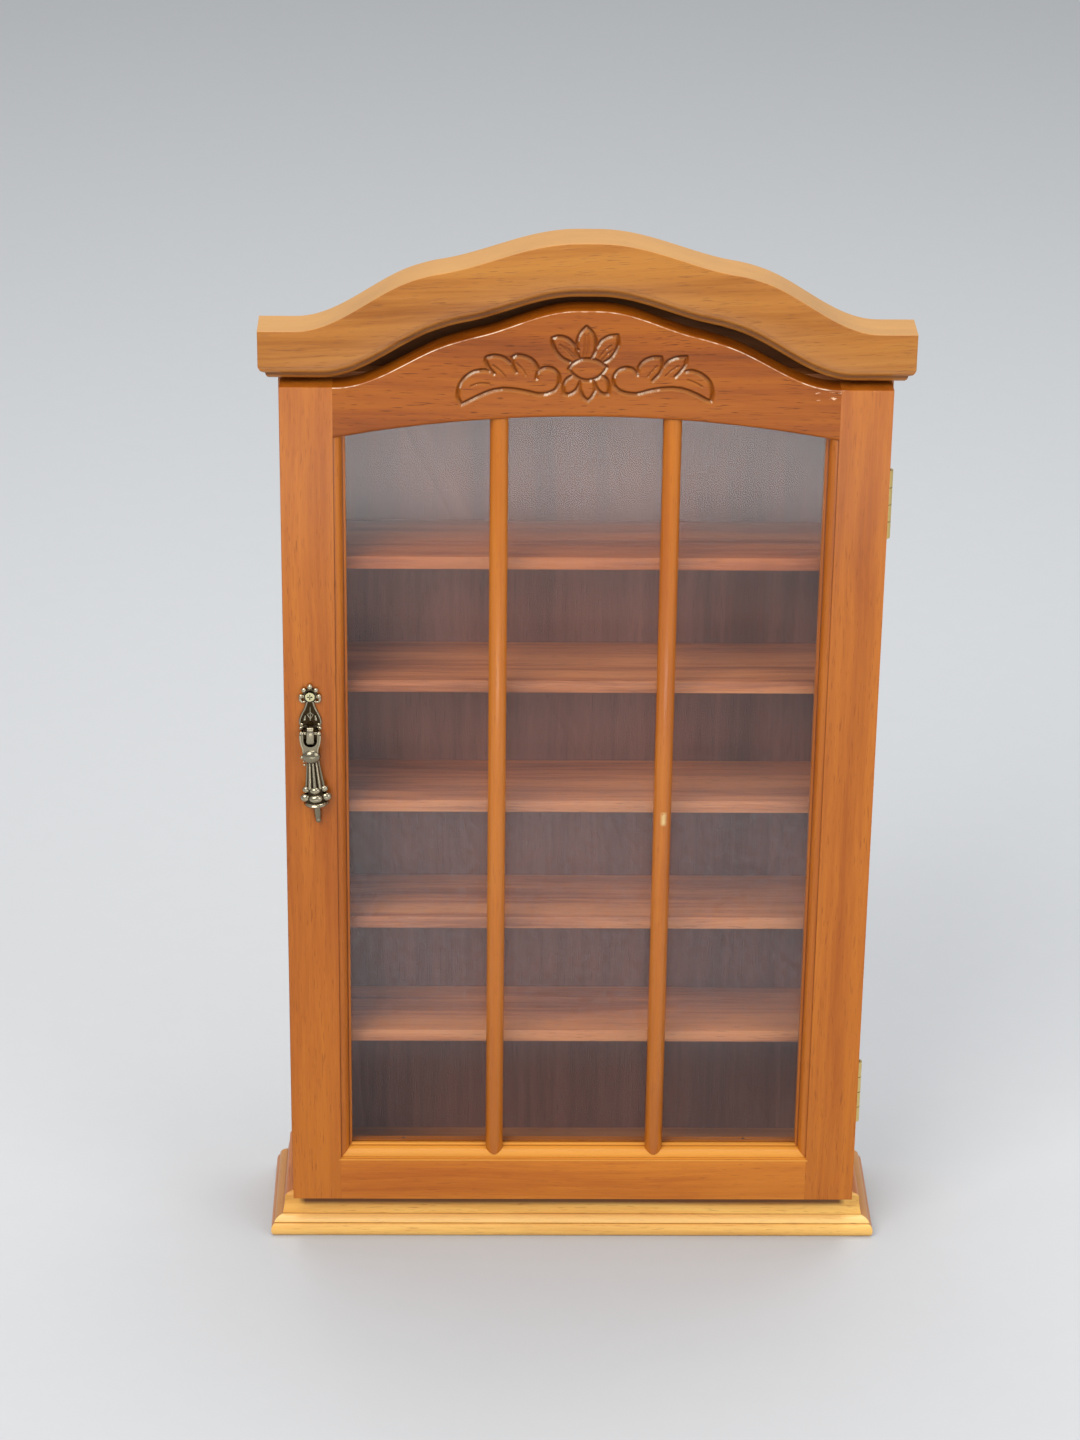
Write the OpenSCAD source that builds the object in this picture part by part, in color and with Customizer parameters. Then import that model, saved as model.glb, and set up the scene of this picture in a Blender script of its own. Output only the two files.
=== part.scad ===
// Thimble display case with an arched, glazed door and a carved head rail.
// Z is up, the front faces -Y and the origin is the centre of the foot's underside.

/* [Case] */
// Width over the two side panels
case_w = 264; // [250:1:290]
// Depth of the side panels
side_d = 53.5; // [51:0.5:66]
// Thickness of the side panels
side_t = 9; // [8.5:0.5:11]
// Thickness of the top and bottom panels
panel_t = 6; // [5:0.5:8]
// Height of the underside of the bottom panel above the floor
floor_h = 19.5; // [16:0.5:26]
// Thickness of the back panel
back_t = 3; // [2.5:0.5:4]
// Distance of the back panel in front of the rear edges of the sides
back_recess = 3.4; // [2:0.2:5]
// Depth of the grooves in the sides that hold the back panel and the shelves
groove_d = 3; // [2:0.5:4]

/* [Shelves] */
// Thickness of a shelf
shelf_t = 6; // [4:0.5:7]
// Distance from one shelf to the next
shelf_pitch = 59.7; // [54:0.1:62]
// Clear height below the lowest shelf
lowest_bay = 72; // [60:1:80]
// Distance of the shelves behind the front edges of the sides
shelf_setback = 5.5; // [4:0.5:8]

/* [Door] */
// Height of the door at its two stiles
door_h = 405; // [395:1:440]
// Thickness of the door frame
door_t = 12; // [11.5:0.5:14]
// How far each edge of the door stands inside the side panel's face
door_inset = 1; // [0.5:0.1:1.2]
// Gap between the closed door and the front edges of the sides
door_gap = 1; // [1:0.1:1.4]
// Gap between the foot moulding and the bottom of the door
foot_gap = 3.5; // [2:0.5:5]
// Gap between the top of the stiles and the cornice
head_gap = 2.5; // [2:0.5:5]
// Width of the flat face of a stile
stile_w = 22.5; // [20:0.5:24]
// Height of the flat face of the bottom rail
rail_h = 22; // [20:0.5:30]
// Height of the top rail at the stiles, from the glass opening to the top of the door
head_h = 22.5; // [20:0.5:30]
// Rise of the arch along the glass opening
arch_rise = 9.5; // [6:0.5:12]
// Diameter of the dowels that join the stiles and rails
dowel_dia = 4; // [3:0.5:4.5]
// Length of the dowels
dowel_l = 22; // [16:1:26]

/* [Glazing] */
// Width of the moulding round the glass
stick_w = 5; // [4.5:0.5:6.5]
// Distance of the glass behind the front of the door
glass_depth = 7; // [7:0.25:8]
// Thickness of the glass
glass_t = 2; // [2:0.5:3]
// Gap round the edge of the glass
glass_clear = 0.5; // [0.3:0.1:1]
// Width of a glazing bar
bar_w = 8; // [6:0.5:10]
// Distance between the centres of the two glazing bars
bar_pitch = 74.4; // [64:0.2:80]
// Distance of the glazing bars behind the front of the door
bar_depth = 1.2; // [0.8:0.2:2]

/* [Cornice] */
// Thickness of the cornice board
cornice_t = 20; // [18:0.5:24]
// Overhang of the cornice beyond each side panel
cornice_reach = 8; // [7.5:0.5:12]
// Height of the cornice at its two ends
cornice_h = 22.5; // [20:0.5:28]
// Height of the routed edge under the cornice
routed_h = 6.6; // [4:0.2:8]
// Depth of the routed edge under the cornice
routed_d = 6.2; // [4:0.2:7]
// Thickness of the head board behind the cornice
head_board_t = 8; // [6:0.5:12]

/* [Arched Outline] */
// Rise of the door's outer curve, from the stile to the shoulder
shoulder_rise = 22; // [14:0.5:26]
// Rise of the door's inner curve, from the shoulder to the crown
crown_rise = 13; // [8:0.5:16]
// Distance from a stile's flat edge to the foot of the door's outer curve
curve_inset = 0.5; // [0:0.5:8]
// Width over which the outer curve rises
shoulder_run = 62; // [50:1:70]

/* [Foot Moulding] */
// Overhang of the foot moulding beyond the sides and the front
foot_reach = 10; // [9:0.5:14]
// Thickness of the base board inside the foot
base_t = 6; // [4:0.5:9]

/* [Hinges] */
// Height of a hinge
hinge_h = 32; // [30:1:40]
// Diameter of a hinge knuckle
knuckle_dia = 4; // [3.6:0.1:4.4]
// Diameter of a hinge pin
hinge_pin_dia = 1.8; // [1.4:0.1:2.2]
// Thickness of a hinge leaf
leaf_t = 0.9; // [0.8:0.1:1.2]
// Width of a hinge leaf from the pin
leaf_w = 8.5; // [8:0.1:8.6]
// Distance of the pin outside the edge of the door
pin_reach = 0.75; // [0.6:0.05:1]
// Height of the lower hinge's centre above the bottom of the door
low_hinge_z = 52; // [40:1:80]
// Distance of the upper hinge's centre below the top of the stile
high_hinge_z = 57; // [40:1:80]

/* [Pull] */
// Distance of the pull's centre from the edge of the door
pull_inset = 11.2; // [10:0.2:12]
// Height of the pull's pivot above the bottom of the door
pull_z = 243.5; // [160:0.5:270]
// Distance of the pull's pivot in front of the door
pull_stand = 3.4; // [3.3:0.1:4.5]
// Length of the pull's drop below its pivot
drop_l = 45; // [43:0.5:47]
// Diameter of the pull's pin
pull_pin_dia = 1.4; // [1:0.1:1.6]
// Lean of the hanging drop, to the right at its tip
drop_lean = 4; // [0:0.5:5]

/* [Wall Fixing] */
// Diameter of the two wall screw holes
wall_hole_dia = 4.5; // [3:0.5:6]
// Distance between the two wall screw holes
wall_hole_pitch = 160; // [100:5:200]
// Height of the hanging rail
hang_rail_h = 27; // [22:1:30]
// Thickness of the hanging rail
hang_rail_t = 9; // [6:0.5:12]

/* [Hidden] */
$fn = 48;

// Fits: a snug hole, a running hole and the end play between moving pieces
snug = 0.05;
running = 0.05;
end_play = 0.3;
// Margin by which a cutting shape passes the face that it cuts
over = 1;
shelf_names = 5;

// Planes from front to back
foot_d = foot_reach + side_d;
side_front = -foot_d / 2 + foot_reach;
side_back = foot_d / 2;
door_back = side_front - door_gap;
door_front = door_back - door_t;
back_rear = side_back - back_recess;
back_front = back_rear - back_t;
shelf_front = side_front + shelf_setback;
cornice_back = door_front + cornice_t;

// Levels from the floor up
door_foot = floor_h + foot_gap;
door_top = door_foot + door_h;
side_h = door_top + head_gap;
floor_top = floor_h + panel_t;
top_under = side_h - panel_t;
cornice_end = side_h + cornice_h;

// Widths
half_w = case_w / 2;
inner_w = half_w - side_t;
door_half = half_w - door_inset;
flat_edge = door_half - stile_w;
glass_edge = flat_edge - stick_w;
cornice_half = half_w + cornice_reach;
foot_half = half_w + foot_reach;

// Arched outlines: lead of each curve's foot over the door's, and the parts of the inner curve
curve_foot = flat_edge - curve_inset;
crown_start = 50;
crown_flat = 4;
under_lead = 6;
under_lift = 2;
top_lead = 16.5;
top_lift = 3;
top_crown_lift = 1.7;
curve_steps = 56;

// Arch over the glass
spring_z = door_top - head_h;
crown_z = spring_z + arch_rise;
arch_r = (glass_edge * glass_edge + arch_rise * arch_rise) / (2 * arch_rise);
sill_z = door_foot + rail_h;
strip_lap = 0.5;
rebate_top = crown_z + stick_w - strip_lap;
pane_foot = sill_z + glass_clear;
pane_top = rebate_top - glass_clear;
strip_front = door_front + glass_depth + glass_t;

// Moulding round the glass: front step, height of its round part and depth of the inner ledge
stick_step = 0.8;
stick_round = stick_w - 1.2;
stick_ledge = 5.6;
round_steps = 6;

// Hinges
axis_x = door_half + pin_reach;
axis_y = door_back + door_gap / 2;
low_z = door_foot + low_hinge_z;
high_z = door_top - high_hinge_z;
leaf_gap = 0.3;
knuckles = 4;
knuckle_h = hinge_h / knuckles;
leaf_screw_x = axis_x - 5;
leaf_screw_z = hinge_h / 4;
leaf_screw_r = 1.1;
leaf_head_r = 1.8;
leaf_head_h = 0.7;
leaf_screw_l = 9;
knuckle_room = 0.35;

// Pull
pull_x = pull_inset - door_half;
pivot_y = door_front - pull_stand;
pivot_z = door_foot + pull_z;
plate_t = 1.2;
lug_half = 1.75;
ear_gap = 1.3;
ear_w = 1.65;
ear_half = lug_half + ear_gap + ear_w;
ear_r = 1.9;
pull_screw_rise = 17.1;
pull_screw_z = pivot_z + pull_screw_rise;
pull_screw_r = 1.1;
pull_screw_l = 10;
drop_back = pivot_y + ear_r;

// Catch, halfway up a bay
catch_w = 9;
catch_d = 12;
catch_h = 30;
catch_z = floor_top + lowest_bay + shelf_t + 2.5 * shelf_pitch - shelf_t / 2;
strike_t = 0.8;
strike_h = 24;
strike_w = 8;
magnet_gap = 0.3;
catch_front = door_back + strike_t + magnet_gap;
catch_screw_r = 1.1;
catch_screw_z = 12;
catch_screw_l = catch_w + 6;
strike_x = catch_w / 2 - inner_w;

// Small fixings
dowel_r = dowel_dia / 2;
dowel_y = door_front + 3.6;
dowel_z = [6, 16];
pin_r = 0.6;
pin_l = 10;
pin_inset = 24;
strip_pin_y = strip_front + (door_back - strip_front) / 2;
strip_pin_rows = 4;
back_pin_l = 12;
back_pin_columns = 3;
cornice_screw_r = 1.5;
cornice_screw_bite = 10;
cornice_screw_l = head_board_t + cornice_screw_bite;
cornice_screw_x = 80;
pad_r = 3.2;
pad_t = 0.7;
pad_inset = 12;

// A 2D outline of X and Z made solid from y0 to y1
module board(y0, y1) {
    translate([0, y1, 0]) rotate([90, 0, 0]) linear_extrude(y1 - y0) children();
}

// A 2D outline of Y and Z made solid from x0 to x1
module bar(x0, x1) {
    translate([x0, 0, 0]) rotate([90, 0, 90]) linear_extrude(x1 - x0) children();
}

// A box between two corners
module block(low, high) {
    translate(low) cube(high - low);
}

// A round rod along Y, from y0 to y1
module rod_y(x, z, y0, y1, r) {
    translate([x, y1, z]) rotate([90, 0, 0]) cylinder(h = y1 - y0, r = r);
}

// A round rod along X, from x0 to x1
module rod_x(x0, x1, y, z, r) {
    translate([x0, y, z]) rotate([0, 90, 0]) cylinder(h = x1 - x0, r = r);
}

module at_both_sides() {
    children();
    mirror([1, 0, 0]) children();
}

// Arched outlines
function ease(t) = t <= 0 ? 0 : t >= 1 ? 1 : (1 - cos(180 * t)) / 2;

function swell(x, foot, shoulder, crown) =
    shoulder * ease((foot - abs(x)) / shoulder_run)
    + crown * ease((foot - crown_start - abs(x)) / (foot - crown_start - crown_flat));

function wave(foot, shoulder, crown, z) = [
    for (i = [0 : curve_steps]) let (x = foot * (2 * i / curve_steps - 1)) [x, z + swell(x, foot, shoulder, crown)]
];

function turned(points) = [for (i = [len(points) - 1 : -1 : 0]) points[i]];

door_wave = wave(curve_foot, shoulder_rise, crown_rise, door_top);

function under_wave(z) = wave(curve_foot + under_lead, shoulder_rise + under_lift, crown_rise, z);

function top_wave(z) = wave(curve_foot + top_lead, shoulder_rise + top_lift, crown_rise + top_crown_lift, z);

// One layer of the cornice, at the depth where its lower edge stands this much above the underside
module cornice_outline(lift) {
    inset = routed_d * (1 - lift / routed_h);
    corner = side_h + routed_h;
    polygon(concat(
        [[-cornice_half, corner], [-cornice_half, cornice_end]],
        top_wave(cornice_end),
        [[cornice_half, cornice_end], [cornice_half, corner], [cornice_half - inset, side_h + lift]],
        turned(under_wave(side_h + lift)),
        [[inset - cornice_half, side_h + lift]]
    ));
}

module cornice() {
    layers = 4;
    step = routed_d / layers;
    color([0.78, 0.53, 0.29]) difference() {
        union() {
            board(door_front + routed_d, cornice_back) cornice_outline(0);
            for (i = [0 : layers - 1])
                board(door_front + i * step, door_front + (i + 1) * step)
                    cornice_outline(routed_h * (1 - (i + 0.5) / layers));
        }
        cornice_screw_holes(snug);
    }
}

// The head board backs the cornice and closes the space above the top panel
module head_board() {
    low_edge = 6;
    color([0.72, 0.47, 0.26]) difference() {
        board(cornice_back, cornice_back + head_board_t) polygon(concat(
            [[-half_w, side_h], [-half_w, cornice_end - low_edge]],
            top_wave(cornice_end - low_edge),
            [[half_w, cornice_end - low_edge], [half_w, side_h]]
        ));
        cornice_screw_holes(snug);
    }
}

module cornice_screw_holes(room) {
    for (x = [-cornice_screw_x, 0, cornice_screw_x]) cornice_screw(x, room);
}

module cornice_screw(x, room) {
    head_r = 3;
    head_h = 1.5;
    rear = cornice_back + head_board_t;
    z = cornice_end - cornice_h / 2 + swell(x, curve_foot + top_lead, shoulder_rise, crown_rise);
    rod_y(x, z, rear - cornice_screw_l, rear, cornice_screw_r + room);
    translate([x, rear, z]) rotate([90, 0, 0])
        cylinder(h = head_h, r1 = head_r + room, r2 = cornice_screw_r + room);
}

module cornice_screws() {
    color([0.75, 0.72, 0.66]) for (x = [-cornice_screw_x, 0, cornice_screw_x]) cornice_screw(x, 0);
}

// Carcass
function shelf_top(i) = floor_top + lowest_bay + shelf_t + (i - 1) * shelf_pitch;

module side_panel() {
    difference() {
        block([inner_w, side_front, 0], [half_w, side_back, side_h]);
        block([inner_w - over, back_front, floor_h], [inner_w + groove_d, back_rear, side_h + over]);
        for (i = [1 : shelf_names])
            block([inner_w - over, shelf_front, shelf_top(i) - shelf_t], [inner_w + groove_d, back_front, shelf_top(i)]);
    }
}

module left_side() {
    color([0.70, 0.43, 0.22]) difference() {
        mirror([1, 0, 0]) side_panel();
        catch_screw_holes(snug);
    }
}

module right_side() {
    color([0.70, 0.43, 0.22]) difference() {
        side_panel();
        for (z = [low_z, high_z]) {
            block([axis_x - leaf_w - snug, side_front - over, z - hinge_h / 2 - snug],
                [half_w + over, axis_y + leaf_gap / 2 + leaf_t + snug, z + hinge_h / 2 + snug]);
            knuckle_space(z);
            leaf_screws_at(z, 1, snug);
        }
    }
}

module top_panel() {
    color([0.70, 0.43, 0.22]) difference() {
        block([-inner_w, side_front, top_under], [inner_w, back_front, side_h]);
        back_pin_holes(snug);
    }
}

module bottom_panel() {
    color([0.70, 0.43, 0.22]) difference() {
        block([-inner_w, side_front, floor_h], [inner_w, back_front, floor_top]);
        back_pin_holes(snug);
    }
}

module back_panel() {
    half = inner_w + groove_d - snug;
    color([0.52, 0.44, 0.40]) difference() {
        block([-half, back_front, floor_h], [half, back_rear, side_h]);
        back_pin_holes(snug);
        wall_holes();
    }
}

module back_pin_holes(room) {
    for (z = [floor_h + panel_t / 2, side_h - panel_t / 2])
        for (i = [0 : back_pin_columns - 1])
            back_pin((i / (back_pin_columns - 1) - 0.5) * 2 * (inner_w - pin_inset), z, room);
}

module back_pin(x, z, room) {
    rod_y(x, z, back_rear - back_pin_l, back_rear, pin_r + room);
    if (room == 0) rod_y(x, z, back_rear, back_rear + pin_r, 2 * pin_r);
}

module back_pins() {
    color([0.72, 0.70, 0.66]) back_pin_holes(0);
}

module hanging_rail() {
    color([0.70, 0.43, 0.22]) difference() {
        block([-inner_w, back_front - hang_rail_t, top_under - hang_rail_h], [inner_w, back_front, top_under]);
        wall_holes();
    }
}

module wall_holes() {
    for (x = [-wall_hole_pitch / 2, wall_hole_pitch / 2])
        rod_y(x, top_under - hang_rail_h / 2, back_front - hang_rail_t - over, back_rear + over, wall_hole_dia / 2);
}

module shelf(i) {
    half = inner_w + groove_d - snug;
    color([0.74, 0.47, 0.34])
        block([-half, shelf_front, shelf_top(i) - shelf_t], [half, back_front, shelf_top(i)]);
}

module shelf_1() { shelf(1); }
module shelf_2() { shelf(2); }
module shelf_3() { shelf(3); }
module shelf_4() { shelf(4); }
module shelf_5() { shelf(5); }

// Foot: a base board between the sides and a mitred moulding round three sides
module base_board() {
    color([0.70, 0.43, 0.22]) block([-inner_w, side_front, 0], [inner_w, side_back, base_t]);
}

// Section of the foot moulding: distance out from the case, and height
function foot_section() = let (
    frieze = foot_reach * 0.4,
    slope = foot_reach * 0.85,
    bead_h = 6.8,
    quirk = 0.5
) concat(
    [[0, 0], [foot_reach - 1, 0]],
    [for (a = [-75 : 25 : 75]) [foot_reach - 1 + cos(a), bead_h / 2 + bead_h / 2 * sin(a)]],
    [[slope, bead_h], [slope, bead_h + quirk]],
    [for (a = [0 : 22.5 : 90]) [frieze + quirk + (slope - frieze - quirk) * cos(a), bead_h + quirk + 1.7 * sin(a)]],
    [[frieze, bead_h + 3 * quirk + 1.7]],
    [for (a = [0 : 22.5 : 90]) [frieze * cos(a), floor_h - 2.5 + 2.5 * sin(a)]]
);

module foot_front() {
    reach = foot_half + over;
    color([0.90, 0.72, 0.40]) intersection() {
        bar(-foot_half, foot_half) polygon([for (p = foot_section()) [side_front - p[0], p[1]]]);
        translate([0, 0, -over]) linear_extrude(floor_h + 2 * over)
            polygon([[-half_w, side_front], [-reach, side_front - foot_reach - over],
                [reach, side_front - foot_reach - over], [half_w, side_front]]);
    }
}

module foot_return() {
    front = side_front - foot_reach - over;
    intersection() {
        translate([0, side_back, 0]) rotate([90, 0, 0]) linear_extrude(side_back - front)
            polygon([for (p = foot_section()) [half_w + p[0], p[1]]]);
        translate([0, 0, -over]) linear_extrude(floor_h + 2 * over)
            polygon([[half_w, side_front], [foot_half + over, front], [foot_half + over, side_back + over],
                [half_w, side_back + over]]);
    }
}

module foot_right() {
    color([0.78, 0.52, 0.28]) foot_return();
}

module foot_left() {
    color([0.78, 0.52, 0.28]) mirror([1, 0, 0]) foot_return();
}

// Section of the moulding round the glass: rise from the flat face, and depth
function stick_section() = concat(
    [[0, 0], [0, stick_step]],
    [for (i = [1 : round_steps]) let (a = 90 * i / round_steps)
        [stick_round * sin(a), stick_step + (stick_ledge - stick_step) * (1 - cos(a))]],
    [[stick_w, stick_ledge], [stick_w, glass_depth]],
    [[0, glass_depth]]
);

// The part of the door's face below the mitres, from edge to edge
module sill_outline() {
    reach = stick_w + over;
    polygon([[-flat_edge, door_foot - over], [flat_edge, door_foot - over], [flat_edge, sill_z],
        [flat_edge - reach, sill_z + reach], [reach - flat_edge, sill_z + reach], [-flat_edge, sill_z]]);
}

// The arch over the glass, as the cylinder that it lies on
module arch_space(y0, y1, room) {
    rod_arch_z = crown_z - arch_r;
    translate([0, y1, rod_arch_z]) rotate([90, 0, 0]) cylinder(h = y1 - y0, r = arch_r - room, $fn = 360);
}

module right_stile_body() {
    difference() {
        translate([0, 0, door_foot]) linear_extrude(door_h) polygon(concat(
            [for (p = stick_section()) [flat_edge - p[0], door_front + p[1]]],
            [[flat_edge, door_back], [door_half, door_back], [door_half, door_front]]
        ));
        intersection() {
            board(door_front - over, door_back + over) sill_outline();
            block([0, door_front - over, 0], [flat_edge, door_back + over, door_top]);
        }
        difference() {
            block([0, door_front - over, spring_z - stile_w], [flat_edge, door_back + over, door_top + over]);
            arch_space(door_front - 2 * over, door_back + 2 * over, snug);
        }
        frame_dowel_holes(snug);
        strip_pin_holes(snug);
    }
}

module right_stile() {
    color([0.76, 0.43, 0.22]) difference() {
        right_stile_body();
        for (z = [low_z, high_z]) {
            block([axis_x - leaf_w - snug, axis_y - leaf_gap / 2 - leaf_t - snug, z - hinge_h / 2 - snug],
                [door_half + over, door_back + over, z + hinge_h / 2 + snug]);
            knuckle_space(z);
            leaf_screws_at(z, -1, snug);
        }
    }
}

module left_stile() {
    color([0.76, 0.43, 0.22]) difference() {
        mirror([1, 0, 0]) right_stile_body();
        rod_y(pull_x, pull_screw_z, door_front - over, door_front + pull_screw_l, pull_screw_r + snug);
        strike_fixing(snug);
    }
}

module bottom_rail() {
    color([0.76, 0.43, 0.22]) difference() {
        intersection() {
            bar(-flat_edge, flat_edge) polygon(concat(
                [for (p = stick_section()) [door_front + p[1], sill_z + p[0]]],
                [[door_back, sill_z], [door_back, door_foot], [door_front, door_foot]]
            ));
            board(door_front - over, door_back + over) sill_outline();
        }
        frame_dowel_holes(snug);
        strip_pin_holes(snug);
    }
}

module top_rail() {
    soft = 1.2;
    color([0.70, 0.40, 0.25]) difference() {
        board(door_front, door_back) polygon(concat(
            [[-flat_edge, spring_z - stile_w], [-flat_edge, door_top]],
            door_wave,
            [[flat_edge, door_top], [flat_edge, spring_z - stile_w]]
        ));
        arch_space(door_front - over, door_back + over, 0);
        arch_space(door_front - over, door_front + soft, -soft);
        block([-flat_edge - over, door_front + glass_depth, spring_z - stile_w - over],
            [flat_edge + over, door_back + over, rebate_top]);
        frame_dowel_holes(snug);
        strip_pin_holes(snug);
    }
}

module frame_dowel_holes(room) {
    at_both_sides() {
        for (z = dowel_z) {
            rod_x(flat_edge - dowel_l / 2, flat_edge + dowel_l / 2, dowel_y, door_foot + z, dowel_r + room);
            rod_x(flat_edge - dowel_l / 2, flat_edge + dowel_l / 2, dowel_y, door_top - z, dowel_r + room);
        }
    }
}

module frame_dowels() {
    color([0.85, 0.72, 0.50]) frame_dowel_holes(0);
}

// Half-round glazing bars, scribed over the moulding of the bottom rail and under the arch
module glazing_bar(x) {
    r = bar_w / 2;
    color([0.80, 0.50, 0.22]) difference() {
        intersection() {
            translate([x, 0, sill_z - over]) linear_extrude(crown_z - sill_z + 2 * over) union() {
                intersection() {
                    translate([0, door_front + bar_depth + r]) circle(r = r);
                    translate([-bar_w, door_front - over]) square([2 * bar_w, over + bar_depth + r]);
                }
                translate([-r, door_front + bar_depth + r])
                    square([bar_w, glass_depth - bar_depth - r]);
            }
            arch_space(door_front - over, door_back + over, snug);
        }
        bar(-flat_edge, flat_edge) polygon(concat(
            [for (p = stick_section()) [door_front + p[1], sill_z + p[0]]],
            [[door_front + glass_depth + over, sill_z], [door_front + glass_depth + over, door_foot],
                [door_front - 2 * over, door_foot], [door_front - 2 * over, sill_z]]
        ));
    }
}

module left_bar() {
    glazing_bar(-bar_pitch / 2);
}

module right_bar() {
    glazing_bar(bar_pitch / 2);
}

module glass_pane() {
    half = flat_edge - glass_clear;
    color([0.80, 0.86, 0.86, 0.35])
        block([-half, door_front + glass_depth, pane_foot], [half, strip_front, pane_top]);
}

// Strips behind the glass, held by small pins
module strip(x0, x1, z0, z1) {
    color([0.74, 0.45, 0.24]) difference() {
        block([x0, strip_front, z0], [x1, door_back, z1]);
        strip_pin_holes(snug);
    }
}

module left_strip() {
    strip(-flat_edge, -glass_edge, sill_z + stick_w, rebate_top - stick_w);
}

module right_strip() {
    strip(glass_edge, flat_edge, sill_z + stick_w, rebate_top - stick_w);
}

module bottom_strip() {
    strip(-flat_edge, flat_edge, sill_z, sill_z + stick_w);
}

module top_strip() {
    strip(-flat_edge, flat_edge, rebate_top - stick_w, rebate_top);
}

module strip_pin_holes(room) {
    low = sill_z + stick_w + pin_inset;
    high = rebate_top - stick_w - pin_inset;
    at_both_sides() {
        for (i = [0 : strip_pin_rows - 1])
            rod_x(glass_edge, glass_edge + pin_l, strip_pin_y, low + (high - low) * i / (strip_pin_rows - 1), pin_r + room);
        for (z = [sill_z + stick_w - pin_l, rebate_top - stick_w])
            translate([glass_edge - pin_inset, strip_pin_y, z]) cylinder(h = pin_l, r = pin_r + room);
    }
}

module strip_pins() {
    color([0.72, 0.70, 0.66]) strip_pin_holes(0);
}

// Butt hinges
module knuckle_space(z) {
    translate([axis_x, axis_y, z - hinge_h / 2 - snug])
        cylinder(h = hinge_h + 2 * snug, r = knuckle_dia / 2 + knuckle_room);
}

// Countersunk screws of one leaf: way is 1 in the case, and -1 in the door
module leaf_screws_at(z, way, room) {
    face = axis_y + way * leaf_gap / 2;
    for (dz = [-leaf_screw_z, leaf_screw_z])
        translate([leaf_screw_x, face, z + dz]) rotate([way * -90, 0, 0]) {
            cylinder(h = leaf_screw_l + room, r = leaf_screw_r + room);
            cylinder(h = leaf_head_h, r1 = leaf_head_r + room, r2 = leaf_screw_r + room);
        }
}

// One leaf with every second knuckle, from the first one given
module leaf(z, way, first) {
    face = axis_y + way * leaf_gap / 2;
    foot = z - hinge_h / 2;
    r = knuckle_dia / 2;
    color([0.79, 0.68, 0.38]) difference() {
        union() {
            block([axis_x - leaf_w, min(face, face + way * leaf_t), foot],
                [axis_x, max(face, face + way * leaf_t), foot + hinge_h]);
            for (i = [first : 2 : knuckles - 1])
                translate([axis_x, axis_y, foot + i * knuckle_h + end_play / 2])
                    cylinder(h = knuckle_h - end_play, r = r);
        }
        translate([axis_x, axis_y, foot - over]) cylinder(h = hinge_h + 2 * over, r = hinge_pin_dia / 2 + running);
        for (i = [1 - first : 2 : knuckles - 1])
            translate([axis_x, axis_y, foot + i * knuckle_h - end_play / 2])
                cylinder(h = knuckle_h + end_play, r = r + end_play);
        leaf_screws_at(z, way, snug);
    }
}

module upper_case_leaf() {
    leaf(high_z, 1, 0);
}

module lower_case_leaf() {
    leaf(low_z, 1, 0);
}

module upper_door_leaf() {
    leaf(high_z, -1, 1);
}

module lower_door_leaf() {
    leaf(low_z, -1, 1);
}

module hinge_pin(z) {
    color([0.72, 0.60, 0.32]) translate([axis_x, axis_y, z - hinge_h / 2])
        cylinder(h = hinge_h, r = hinge_pin_dia / 2);
}

module upper_hinge_pin() {
    hinge_pin(high_z);
}

module lower_hinge_pin() {
    hinge_pin(low_z);
}

module case_leaf_screws() {
    color([0.76, 0.64, 0.35]) for (z = [low_z, high_z]) leaf_screws_at(z, 1, 0);
}

module door_leaf_screws() {
    color([0.76, 0.64, 0.35]) for (z = [low_z, high_z]) leaf_screws_at(z, -1, 0);
}

// Magnetic catch inside the left side panel, and its plate on the door
module catch_body() {
    pocket_w = 5;
    pocket_h = 18;
    color([0.42, 0.26, 0.15]) difference() {
        block([-inner_w, catch_front, catch_z - catch_h / 2],
            [catch_w - inner_w, catch_front + catch_d, catch_z + catch_h / 2]);
        block([strike_x - pocket_w / 2, catch_front - over, catch_z - pocket_h / 2],
            [strike_x + pocket_w / 2, catch_front + catch_d * 2 / 3, catch_z + pocket_h / 2]);
        catch_screw_holes(snug);
    }
}

module catch_magnet() {
    half = 2.4;
    half_h = 8.9;
    pole_t = 1;
    rear = catch_front + catch_d * 2 / 3;
    color([0.35, 0.35, 0.36]) {
        block([strike_x - half + pole_t, catch_front + pole_t, catch_z - half_h],
            [strike_x + half - pole_t, rear, catch_z + half_h]);
        for (x = [strike_x - half, strike_x + half - pole_t])
            block([x, catch_front, catch_z - half_h], [x + pole_t, rear, catch_z + half_h]);
    }
}

module catch_screw_holes(room) {
    for (dz = [-catch_screw_z, catch_screw_z])
        translate([catch_w - inner_w, catch_front + catch_d / 2, catch_z + dz]) rotate([0, -90, 0]) {
            cylinder(h = catch_screw_l + room, r = catch_screw_r + room);
            cylinder(h = leaf_head_h, r1 = leaf_head_r + room, r2 = catch_screw_r + room);
        }
}

module catch_screws() {
    color([0.76, 0.64, 0.35]) catch_screw_holes(0);
}

module strike_plate() {
    color([0.70, 0.70, 0.70]) difference() {
        block([strike_x - strike_w / 2, door_back, catch_z - strike_h / 2],
            [strike_x + strike_w / 2, door_back + strike_t, catch_z + strike_h / 2]);
        strike_fixing(snug);
    }
}

module strike_fixing(room) {
    translate([strike_x, door_back + strike_t, catch_z]) rotate([90, 0, 0]) {
        cylinder(h = leaf_screw_l + room, r = leaf_screw_r + room);
        cylinder(h = leaf_head_h, r1 = leaf_head_r + room, r2 = leaf_screw_r + room);
    }
}

module strike_screw() {
    color([0.70, 0.70, 0.70]) strike_fixing(0);
}

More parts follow.
